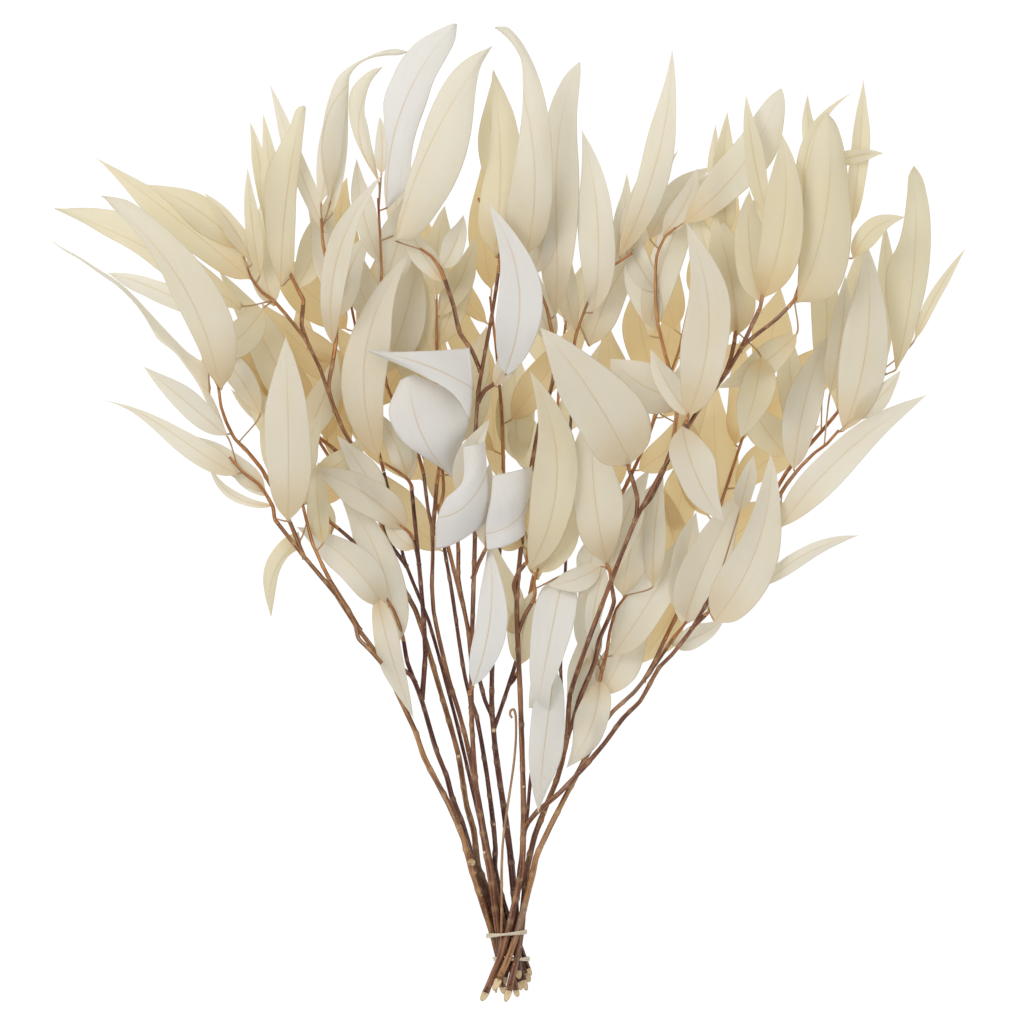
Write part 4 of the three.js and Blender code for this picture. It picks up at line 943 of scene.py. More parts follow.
    def shell(self, life: np.random.Generator) -> Shell:
        """The fine blade with its stalk: centre + (normal, slope) half v, half a thickness above and below.

        Args:
            life: source of the small differences between leaves.

        Returns:
            The closed leaf.
        """
        leaf = self.leaf
        q = np.linspace(0.0, 1.0, STALK_STEPS, endpoint=False)
        even = np.linspace(0.0, 1.0, BLADE_STEPS)
        u = EVEN_SHARE * even + (1.0 - EVEN_SHARE) * (1.0 - np.cos(math.pi * even)) / 2.0
        line, run = self.centre_line(q, u, life.uniform(-HOOK, HOOK) * leaf.length * self.free)
        along = unit(np.gradient(line, axis=0))
        fine = np.concatenate([q * 0.0, u])
        grown = np.concatenate([q**2, np.ones(BLADE_STEPS)])
        steps = np.gradient(line[:, :2], axis=0)
        level = unit(np.stack([-steps[:, 1], steps[:, 0]], axis=1))
        across = np.column_stack([level, (self.roll + self.twist * (fine - 0.5)) * grown])
        above = unit(np.cross(along, across))

        half, thick = self.widths(q, u)
        v, camber = self.relief(fine, grown, half, run, life)
        rim = ACROSS[None, :]
        edge = np.where(grown[:, None] < 1.0, np.sqrt(1.0 - 0.96 * rim**2), 1.0 - 0.7 * rim**4)
        body = thick[:, None] / 2.0 * edge
        span = across * half[:, None]
        if self.drawn:
            span[STALK_STEPS:, :2] = (self.drawn.edge(self.drawn.left, u)
                                      - self.drawn.edge(self.drawn.right, u)) / 2.0
        flat = line[:, None] + span[:, None] * v[..., None]
        offset = self.drawn.rib_offset(flat[..., :2]) if self.drawn else half[:, None] * v
        top = flat + above[:, None] * (camber + body)[..., None]
        under = flat + above[:, None] * (camber - body)[..., None]

        place = spread(camber.shape, run[:, None], offset, np.abs(rim))
        share = np.concatenate([(q - 1.0) * min(self.stalk / FULL_STALK, 1.0), u])
        tint, shade = life.random(2)
        mood = spread(camber.shape, share[:, None], tint, -1.0 if leaf.cool else shade)

        def both(upper: Array, lower: Array) -> Array:
            """The upper face from edge to edge, then the lower face back again."""
            return np.concatenate([upper, lower[:, ::-1]], axis=1)

        return Shell.around(both(top, under), both(place, place), both(mood, mood))


@dataclass(frozen=True)
class Fan:
    """Leaves along a hidden twig by rule: how many, and their mean length and width."""

    count: int
    length: float
    width: float
    first: float = 0.18
    aim: float = 0.24
    share: float = 0.8
    stalk: float = 7

    def rows(self, twig: Array, draw: Draw) -> list[Leaf]:
        """Leaves left and right in turn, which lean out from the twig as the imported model's do.

        Args:
            twig: centre line of the twig.
            draw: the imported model's random source.

        Returns:
            The leaves.
        """
        total = float(arc_lengths(twig)[-1])
        rows = []
        for i in range(self.count):
            spot = along_line(twig, total * (self.first + self.share * i / (self.count - 1)))
            ahead = along_line(twig, total * (self.aim + self.share * i / (self.count - 1)))
            line = math.atan2(ahead[1] - spot[1], ahead[0] - spot[0])
            lean = (-1 if i % 2 else 1) * (0.3 + 0.4 * draw()) * (1 if i + 1 < self.count else 0.2)
            long = self.length * (0.8 + 0.35 * draw())
            base_x = spot[0] + self.stalk * math.cos(line + lean * 1.5)
            base_y = spot[1] + self.stalk * math.sin(line + lean * 1.5)
            rows.append(Leaf(base_x, base_y, base_x + long * math.cos(line + lean),
                             base_y + long * math.sin(line + lean), self.width * (0.8 + 0.4 * draw()),
                             (draw() - 0.5) * 10, (draw() - 0.45) * 16))
        return rows


# Wood


WAIST_Y = -260.0
WAIST_HEIGHT = 16.3
SHEAF_TOP = -215.0
SHEAF_STEP = 15.0
TWIST_ACROSS = 0.04
TWIST_UP = 0.02
SPLAY = 0.01
LEAN = 0.11
RISE = 0.2
LONG_FORK = 8
LONG_FORK_RADIUS = 1.7
TWIG_RADII = (1.35, 1.0)
TWIG_END = 0.85
JOINT_GAP = 0.3
JOINT_RUN = 3.0
ROUND = 0.94
STEM_SIDES = 16
TWIG_SIDES = 12
WOOD_STEP = 1.2
SMOOTH_SHARE = 0.4
SLIMMING = 0.1
KNUCKLE_REACH = 1.5
KNUCKLE_GAPS = (11.0, 28.0)
KNUCKLE_RISE = (0.4, 1.0)
STEM_START = 40.0
FORK_START = 8.0
TWIG_KNUCKLES = (2.0, 0.28)
FORK_COLLAR = 0.35
TWIG_COLLAR = 0.1
JOINT_COLLAR = 0.2
CUT_ACROSS = (-0.7, 0.7)
CUT_UP = (1.4, 2.8)
STUB_RISE = 0.35


def sheaf_point(waist: Point, y: float) -> Array:
    """Centre of a stem near the tie: a linear twist about the waist, which climbs from the floor.

    With run = y - waist y: x = waist x + twist * waist z * turn + lean * min(run, 0), and
    z = waist height + rise / 2 (run + hypot(run, step) - step) + waist z - twist * waist x * turn.
    """
    run = y - WAIST_Y
    climb = WAIST_HEIGHT + RISE / 2.0 * (run + math.hypot(run, SHEAF_STEP) - SHEAF_STEP)
    turn = run * (1.0 - SPLAY * min(run, 0.0))
    return np.array([waist[0] + TWIST_ACROSS * waist[1] * turn + LEAN * min(run, 0.0), y,
                     climb + waist[1] - TWIST_UP * waist[0] * turn])


def wood_shell(points: Array, radii: Array, sides: int, knuckles: Array, life: np.random.Generator,
               ends: tuple[int, int] = (0, 0), slant: Span = (0.0, 0.0)) -> Shell:
    """A piece of wood along a line, with knuckles and slight kinks.

    Radius: taper * (1 + waves + sum of height * exp(-((run - knuckle) / reach)^2) * bump), where the bump
    makes each knuckle stand out more to one side.

    Args:
        points: centre line.
        radii: radius at each point.
        sides: points round the wood.
        knuckles: (n, 2) distances along the line, and heights as a share of the radius.
        life: source of the small differences.
        ends: material numbers of both ends.
        slant: how the first end is cut.

    Returns:
        The closed wood.
    """
    run = arc_lengths(points)
    at = np.linspace(0.0, run[-1], max(6, math.ceil(run[-1] / min(WOOD_STEP, run[-1] / 12.0))))
    straight = np.column_stack([np.interp(at, run, points[:, k]) for k in range(3)])
    line = SMOOTH_SHARE * curve_through(run, points, at) + (1.0 - SMOOTH_SHARE) * straight
    taper = np.interp(at, run, radii) * ROUND * (1.0 - SLIMMING * ease(at, 30.0, 150.0))
    near = np.exp(-(((at[:, None] - knuckles[None, :, 0]) / KNUCKLE_REACH) ** 2))
    turn = -WHOLE_TURN * np.arange(sides) / sides
    way = life.uniform(*ANY_PHASE, len(knuckles))
    bump = 0.75 + 0.5 * np.cos(turn[None, :] - way[:, None])
    waves = (0.03 * np.sin(at / 5.3 + life.uniform(0.0, 6.0))
             + 0.02 * np.sin(at / 2.1 + life.uniform(0.0, 6.0)))
    swell = 1.0 + waves[:, None] + (near * knuckles[None, :, 1]) @ bump
    mood = np.stack([np.clip(near.sum(axis=1), 0.0, 1.0), np.ones(len(at)),
                     np.full(len(at), life.random())], axis=1)
    return tube(line, taper[:, None] * swell, sides, mood, 0, ends, slant)


def knuckles_along(length: float, first: float, life: np.random.Generator, high: float = 0.26) -> Array:
    """Knuckles along a length, from the first place on, each with a height up to the one given."""
    gaps = life.uniform(*KNUCKLE_GAPS, max(2, int(length / 10.0)))
    at = first + np.cumsum(gaps) - gaps[0] * 0.5
    at = at[at < length - 4.0]
    return np.column_stack([at, life.uniform(*KNUCKLE_RISE, len(at)) * high])


@dataclass(frozen=True)
class Stem:
    """One stem: its place and radius at the tie, its cut end, its line above the sheaf, and its forks."""

    waist: Point
    radius: Point
    butt: float
    bark: Bark
    line: tuple[Point, ...]
    forks: Mapping[str, tuple[Point, ...]]

    def points(self) -> Array:
        """The whole centre line, from the cut end through the sheaf."""
        lows = [self.butt, WAIST_Y - 8.0, WAIST_Y + 6.0, WAIST_Y + 24.0, SHEAF_TOP]
        sheaf = [sheaf_point(self.waist, y) for y in lows]
        return thinned(np.array(sheaf + [np.array(p) for p in self.line]))

    def fork_radii(self, name: str, count: int) -> Array:
        """Radius along a fork: long forks start thicker."""
        start = LONG_FORK_RADIUS if len(self.forks[name]) > LONG_FORK else TWIG_RADII[0]
        return np.linspace(start, TWIG_RADII[0], count)

    def end(self, name: str) -> tuple[Array, Array, float]:
        """The end that a spray grows from: its point, its direction and its radius."""
        points = self.points() if name == "tip" else thinned(np.array(self.forks[name], float))
        radius = self.radius[1] if name == "tip" else TWIG_RADII[0]
        return points[-1], unit(points[-1] - points[-2]), radius

    def shell(self, number: int, scars: Iterable["Scar"]) -> Shell:
        """The stem with its forks, its aslant cut end and its scars.

        Args:
            number: which stem it is, for its own small differences.
            scars: the scars of all stems.

        Returns:
            The closed shells as one.
        """
        life = np.random.default_rng(SEED + STEM_SEED * number)
        points = self.points()
        run = arc_lengths(points)
        starts = np.array([path[0] for path in self.forks.values()]).reshape(-1, 3)
        joints = [run[int(np.argmin(np.linalg.norm(points - s, axis=1)))] for s in starts]
        collars = np.column_stack([joints, np.full(len(joints), JOINT_COLLAR)]).reshape(-1, 2)
        knuckles = np.concatenate([knuckles_along(run[-1], STEM_START, life), collars])
        slant = (life.uniform(*CUT_ACROSS), life.uniform(*CUT_UP))
        shells = [wood_shell(points, np.linspace(*self.radius, len(points)), STEM_SIDES, knuckles, life,
                             (1, 0), slant)]
        for name, path in self.forks.items():
            fork = thinned(np.array(path, float))
            length = float(arc_lengths(fork)[-1])
            knots = np.concatenate([[[0.0, FORK_COLLAR]], knuckles_along(length, FORK_START, life)])
            shells.append(wood_shell(fork, self.fork_radii(name, len(fork)), TWIG_SIDES, knots, life))
        fine = curve_through(run, points, np.linspace(0.0, run[-1], 600))
        for scar in scars:
            if scar.stem == number:
                shells.append(scar.shell(fine, self.radius[0]))
        return Shell.joined(shells)


@dataclass(frozen=True)
class Scar:
    """The pale round scar of a twig that was cut off: a short stub on the upper side of a stem."""

    stem: int
    y: float
    radius: float
    turn: float = 0.0

    def shell(self, line: Array, thick: float) -> Shell:
        """The stub: a tube from the stem's middle to just past its bark, with a cut face.

        Args:
            line: fine centre line of the stem.
            thick: the stem's radius.

        Returns:
            The closed stub.
        """
        spot = line[int(np.argmin(np.abs(line[:, 1] - self.y)))]
        way = np.array([math.sin(self.turn), -0.25, math.cos(self.turn)])
        reach = np.array([0.0, 0.5, 0.86, 1.0]) * (thick + STUB_RISE)
        points = spot + reach[:, None] * way
        mood = np.tile([1.0, 1.0, 0.5], (len(points), 1))
        return tube(points, self.radius * np.array([1.15, 1.12, 1.0, 0.9]), TWIG_SIDES, mood, 0, (0, 1))


@dataclass(frozen=True)
class Spray:
    """A leafy spray: the stem and fork that it grows from, its twig and its leaves."""

    stem: int
    fork: str
    tone: Tone
    twig: tuple[Point, ...]
    leaves: tuple[Leaf, ...] = ()
    fan: Fan | None = None

    def twig_line(self, stems: Sequence[Stem]) -> Array:
        """The twig's centre line, from just past the end of its fork."""
        end, along, _ = stems[self.stem - 1].end(self.fork)
        start = [end + along * JOINT_GAP, end + along * JOINT_RUN]
        return thinned(np.array(start + [np.array(p, float) for p in self.twig]))

    def shell(self, number: int, stems: Sequence[Stem], draw: Draw, node: bpy.types.Object) -> Shell:
        """The twig and its leaves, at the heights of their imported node.

        Args:
            number: which spray it is.
            stems: all stems.
            draw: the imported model's random source.
            node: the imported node.

        Returns:
            The closed shells as one.
        """
        life = np.random.default_rng(SEED + SPRAY_SEED + number)
        twig = self.twig_line(stems)
        corners = np.empty(len(node.data.vertices) * 3)
        node.data.vertices.foreach_get("co", corners)
        corners = corners.reshape(-1, 3) / MM
        rows = list(self.leaves) + (self.fan.rows(twig, draw) if self.fan else [])
        free = self.tone is Tone.BACK or bool(self.fan)
        blades = [Blade(leaf, twig, draw, free, DRAWN.get((number, i))) for i, leaf in enumerate(rows)]
        missing = sum(blade.read_heights(corners) for blade in blades)
        blades += [Blade(leaf, twig, no_draw) for leaf in DEEP_LEAVES.get(number, ())]
        if missing:
            LOG.info("spray %02d: %d stations took their neighbours' height", number, missing)
        length = float(arc_lengths(twig)[-1])
        radius = min(stems[self.stem - 1].end(self.fork)[2], TWIG_RADII[0])
        start, high = TWIG_KNUCKLES
        knots = np.concatenate([[[0.0, TWIG_COLLAR]], knuckles_along(length, start, life, high)])
        radii = np.linspace(radius, TWIG_RADII[1] * TWIG_END, len(twig))
        wood = wood_shell(twig, radii, TWIG_SIDES, knots, life)
        wood.quad_skin[:] = 1
        wood.tri_skin[:] = 1
        return Shell.joined([blade.shell(life) for blade in blades] + [wood])


STEMS = (
    Stem((-8.8, -8), (2.3, 1.4), -272, Bark.TAN,
         line=((-28, -197, 28), (-36, -178, 33), (-44, -162, 38), (-52, -147, 43), (-57, -132, 47),
               (-63, -119, 50), (-78, -88, 60), (-92, -69, 68), (-105, -49, 75), (-125, -25, 84),
               (-139, -7, 92)),
         forks={"drooping": ((-93, -67, 68.5), (-91, -76, 70), (-84, -83, 71), (-77, -91, 71)),
                "inner": ((-123, -28, 83), (-127, -18, 84), (-132, -6, 86)),
                "short": ((-90, -71, 67.5), (-98, -57, 74), (-108, -41, 80))}),
    Stem((-3.9, -10), (2.2, 1.3), -285, Bark.DARK,
         line=((-24, -205, 18.5), (-29, -187, 21), (-35, -172, 24), (-38, -160, 27),
               (-44, -145, 30), (-50, -125, 34), (-54, -111, 36.5), (-59, -99, 40), (-68, -92, 45),
               (-73, -84, 48), (-76, -74, 51), (-81, -56, 56), (-89, -34, 62), (-94, -18, 67),
               (-103, -10, 71)),
         forks={"inner": ((-57, -103, 38.5), (-62, -90, 41), (-64, -78, 43)),
                "upright": ((-53, -113, 36), (-52, -98, 38.5), (-51, -85, 41), (-51.5, -70, 44),
                    (-52.5, -57, 47), (-54, -42, 50), (-55, -28, 53), (-57, -10, 57),
                    (-59, 13, 62)),
                "leafy": ((-54.7, -32, 52), (-56, -24, 56), (-58, -17, 59))}),
    Stem((1.2, -11.3), (2.3, 1.2), -280, Bark.TAN,
         line=((-20, -205, 12.5), (-22, -192, 14), (-26, -178, 16), (-28.5, -165, 18),
               (-31, -147, 21), (-36, -130, 24), (-42, -108, 28), (-52, -76, 35), (-57, -59, 39),
               (-64, -46, 43), (-70, -29, 48), (-77, -8, 54), (-86, 20, 61), (-94, 39, 66),
               (-100, 49, 69), (-107, 66, 73), (-114, 86, 78), (-123, 104, 82), (-134, 118, 86)),
         forks={"low": ((-84, 14, 59.5), (-95, 28, 59), (-106, 38, 59)),
                "middle": ((-105, 60, 71.5), (-109, 74, 77), (-106, 92, 84)),
                "high": ((-120, 98, 80.5), (-125, 112, 84), (-124, 124, 87))}),
    Stem((5.6, -9.9), (1.5, 1.1), -277, Bark.DARK,
         line=((-15, -200, 10), (-18, -188, 11), (-22, -172, 12), (-25, -158, 13),
               (-29, -142, 14.5), (-32, -128, 16), (-38, -106, 19), (-44, -84, 22), (-49, -66, 24),
               (-56, -47, 27), (-64, -28, 30), (-70, 0, 32), (-76, 24, 33)),
         forks={"back": ((-62, -33, 29), (-72, -20, 25), (-84, -4, 21))}),
    Stem((-1.5, -5.5), (2, 1.2), -290, Bark.BROWN,
         line=((-14, -200, 21), (-17, -185, 22.5), (-20, -168, 24.5), (-24, -148, 27),
               (-27, -135, 29), (-31, -120, 31), (-36, -104, 34), (-43, -75, 39), (-46, -60, 42),
               (-47, -45, 44), (-46.5, -25, 47), (-47, -8, 50), (-49, 0, 52), (-52, 23, 57)),
         forks={"front": ((-46.6, -14, 49), (-45.5, -2, 53), (-44, 17, 60))}),
    Stem((-6.3, -3.5), (2.2, 1.2), -288, Bark.BROWN,
         line=((-15, -203, 28), (-17, -190, 31), (-19, -175, 35), (-21, -160, 39), (-22, -145, 43),
               (-23, -128, 47), (-23.3, -110, 52), (-23.2, -90, 57), (-23, -70, 61),
               (-22.5, -50, 65), (-22, -35, 68), (-21, -13, 72), (-21, 12, 77), (-21, 41, 82),
               (-19, 72, 88), (-14, 101, 93), (-10, 123, 97), (-7, 143, 100)),
         forks={"left": ((-23.3, -90, 57), (-25, -72, 61), (-28, -58, 64), (-31, -40, 68),
                    (-31, -24, 72)),
                "right": ((-22.3, -40, 67), (-19, -31, 71), (-15.5, -24, 75)),
                "upper": ((-17.5, 84, 90), (-23, 97, 92), (-30, 107, 93), (-34, 124, 95),
                    (-39, 139, 97)),
                "front": ((-19.3, 66, 87), (-15, 73, 92), (-9, 77, 97)),
                "mid": ((-23.4, -118, 49.8), (-24.2, -113, 53.5), (-24.2, -110, 56.5))}),
    Stem((3, -6.8), (2, 1.2), -284, Bark.DARK,
         line=((-8.8, -203, 16), (-10, -190, 18), (-12, -175, 20.5), (-14, -158, 23.5),
               (-17, -140, 27), (-20.5, -122, 30.5), (-24, -112, 32), (-27, -100, 34),
               (-30, -80, 38), (-33, -60, 42), (-36, -42, 45), (-39, -25, 49), (-42, -4, 53)),
         forks={}),
    Stem((5, -2.2), (2.5, 1.3), -278, Bark.DARK,
         line=((0, -205, 18), (-2, -190, 19), (-5, -172, 20.5), (-7, -158, 21.5), (-9, -142, 22.5),
               (-11, -119, 24.5), (-11, -98, 26), (-10, -70, 28), (-8, -50, 30), (-6, -20, 32),
               (-4, 12, 35)),
         forks={"left": ((-10.6, -124, 24), (-15, -114, 25), (-18, -103, 26.5), (-22, -85, 28),
                    (-28, -58, 27)),
                "right": ((-10, -132, 23.3), (-6, -121, 25), (-2, -108, 27), (2, -96, 29),
                    (8, -75, 31), (12, -50, 33)),
                "stub": ((-0.5, -104, 27.5), (2, -101.5, 30), (3.6, -98.5, 32))}),
    Stem((-5.2, 0.1), (0.9, 0.8), -289, Bark.PALE,
         line=((-4.6, -203, 30), (-3, -185, 33), (-1, -165, 36), (1, -148, 39), (3, -130, 42),
               (3.4, -122, 43.3), (2.2, -118.6, 44), (0.4, -119.4, 44.4), (0, -122, 44.8),
               (1.2, -124, 45.2)),
         forks={}),
    Stem((-2.7, 5.5), (2.3, 1.3), -291, Bark.BROWN,
         line=((7.5, -200, 34), (8.2, -180, 37.5), (8, -165, 40.5), (7.2, -150, 43.5),
               (7.3, -135, 46.5), (6.5, -119, 49.5), (5.5, -100, 53), (5, -85, 56), (4.5, -65, 60),
               (4, -50, 63), (5.5, -35, 66), (7, -17, 69), (9.5, 5, 73), (13, 27, 77),
               (15.5, 42, 80), (18, 54, 82), (23, 68, 85), (26, 80, 87), (26, 93, 89)),
         forks={"outer": ((7.9, -193, 35.5), (11, -187, 37.2), (16, -181, 38.8), (22, -176, 40.3),
                    (30, -169, 42.5), (38, -161, 45), (46, -152, 47), (57, -139, 51),
                    (68, -124, 55), (78, -114, 58.5), (90, -93, 64), (97, -86, 67), (108, -72, 71),
                    (121, -50, 77), (138, -25, 82), (152, -4, 86), (161, 9, 89)),
                "low": ((5, -72, 59), (9, -62, 62), (13, -55, 65)),
                "loop": ((4, -52, 62.5), (2.2, -44, 66), (4.5, -37, 69.5), (8.5, -32, 72)),
                "outback": ((150, -7, 85.5), (156, 4, 84), (160, 14, 83)),
                "outfront": ((109, -70, 71.5), (114, -65, 75), (117, -62, 77.5))}),
    Stem((1.9, 2.1), (1.4, 1), -282, Bark.DARK,
         line=((8, -200, 25.5), (10, -186, 26.5), (11.5, -170, 28), (14, -150, 30), (20, -135, 33),
               (27, -122, 36), (31, -110, 38.5), (30.5, -95, 41), (31, -78, 44), (33, -50, 49),
               (34, -20, 54), (35, 20, 62), (37, 60, 71), (38.5, 98, 80)),
         forks={"back": ((32.5, -58, 47.5), (40, -40, 44), (50, -20, 42))}),
    Stem((6, 2.4), (2.2, 1.3), -290, Bark.BROWN,
         line=((12.5, -205, 22.5), (15, -195, 24.5), (18, -187, 26), (21.5, -178, 28),
               (24, -172, 30), (28, -162, 33), (31, -152, 37), (34, -138, 43), (36, -110, 55),
               (40, -97, 61), (45, -83, 68), (50, -70, 74), (55, -55, 80), (60, -43, 85),
               (65, -30, 89), (70, -18, 93), (75, -5, 97), (81, 6, 100), (88, 18, 104),
               (93, 28, 107), (98, 37, 110), (104, 47, 113), (112, 60, 116), (122, 73, 119),
               (130, 84, 121), (139, 99, 124), (150, 108, 126), (160, 116, 128),
               (166, 122, 129.5)),
         forks={"inner": ((34.3, -136, 44), (38, -126, 45.5), (42, -112, 50), (46, -102, 53),
                    (51, -90, 57), (54, -76, 61), (60, -62, 66), (62.5, -54, 69), (61, -44, 72)),
                "left": ((75.5, -4, 97.2), (76.3, 8, 101), (73.5, 18, 106), (71.5, 25, 110)),
                "right": ((77, 0, 98), (84, 8, 96), (90, 20, 97), (96, 36, 99)),
                "crest": ((101, 41.5, 111.5), (104, 49, 117), (105, 53, 119.5)),
                "back": ((128, 81, 120.5), (132, 92, 119), (134, 101, 117)),
                "tall": ((137, 95.5, 123), (143, 108, 127.5), (148, 119, 131))}),
    Stem((2.6, 6.5), (2.3, 1.3), -283, Bark.TAN,
         line=((15.5, -209, 29.5), (20, -198, 31.5), (24, -190, 33), (30, -179, 35.5),
               (35, -169, 37.5), (39, -160, 39.5), (44, -151, 41.5), (50, -140, 44),
               (53, -132, 46), (62, -120, 49), (75, -108, 53.5), (83, -98, 57), (92, -85, 61),
               (98, -76, 64)),
         forks={"thin": ((52, -134, 45.6), (52.5, -120, 48), (53, -108, 50)),
                "deep": ((80, -102, 55.7), (87, -90, 52), (93, -77, 49))}),
)

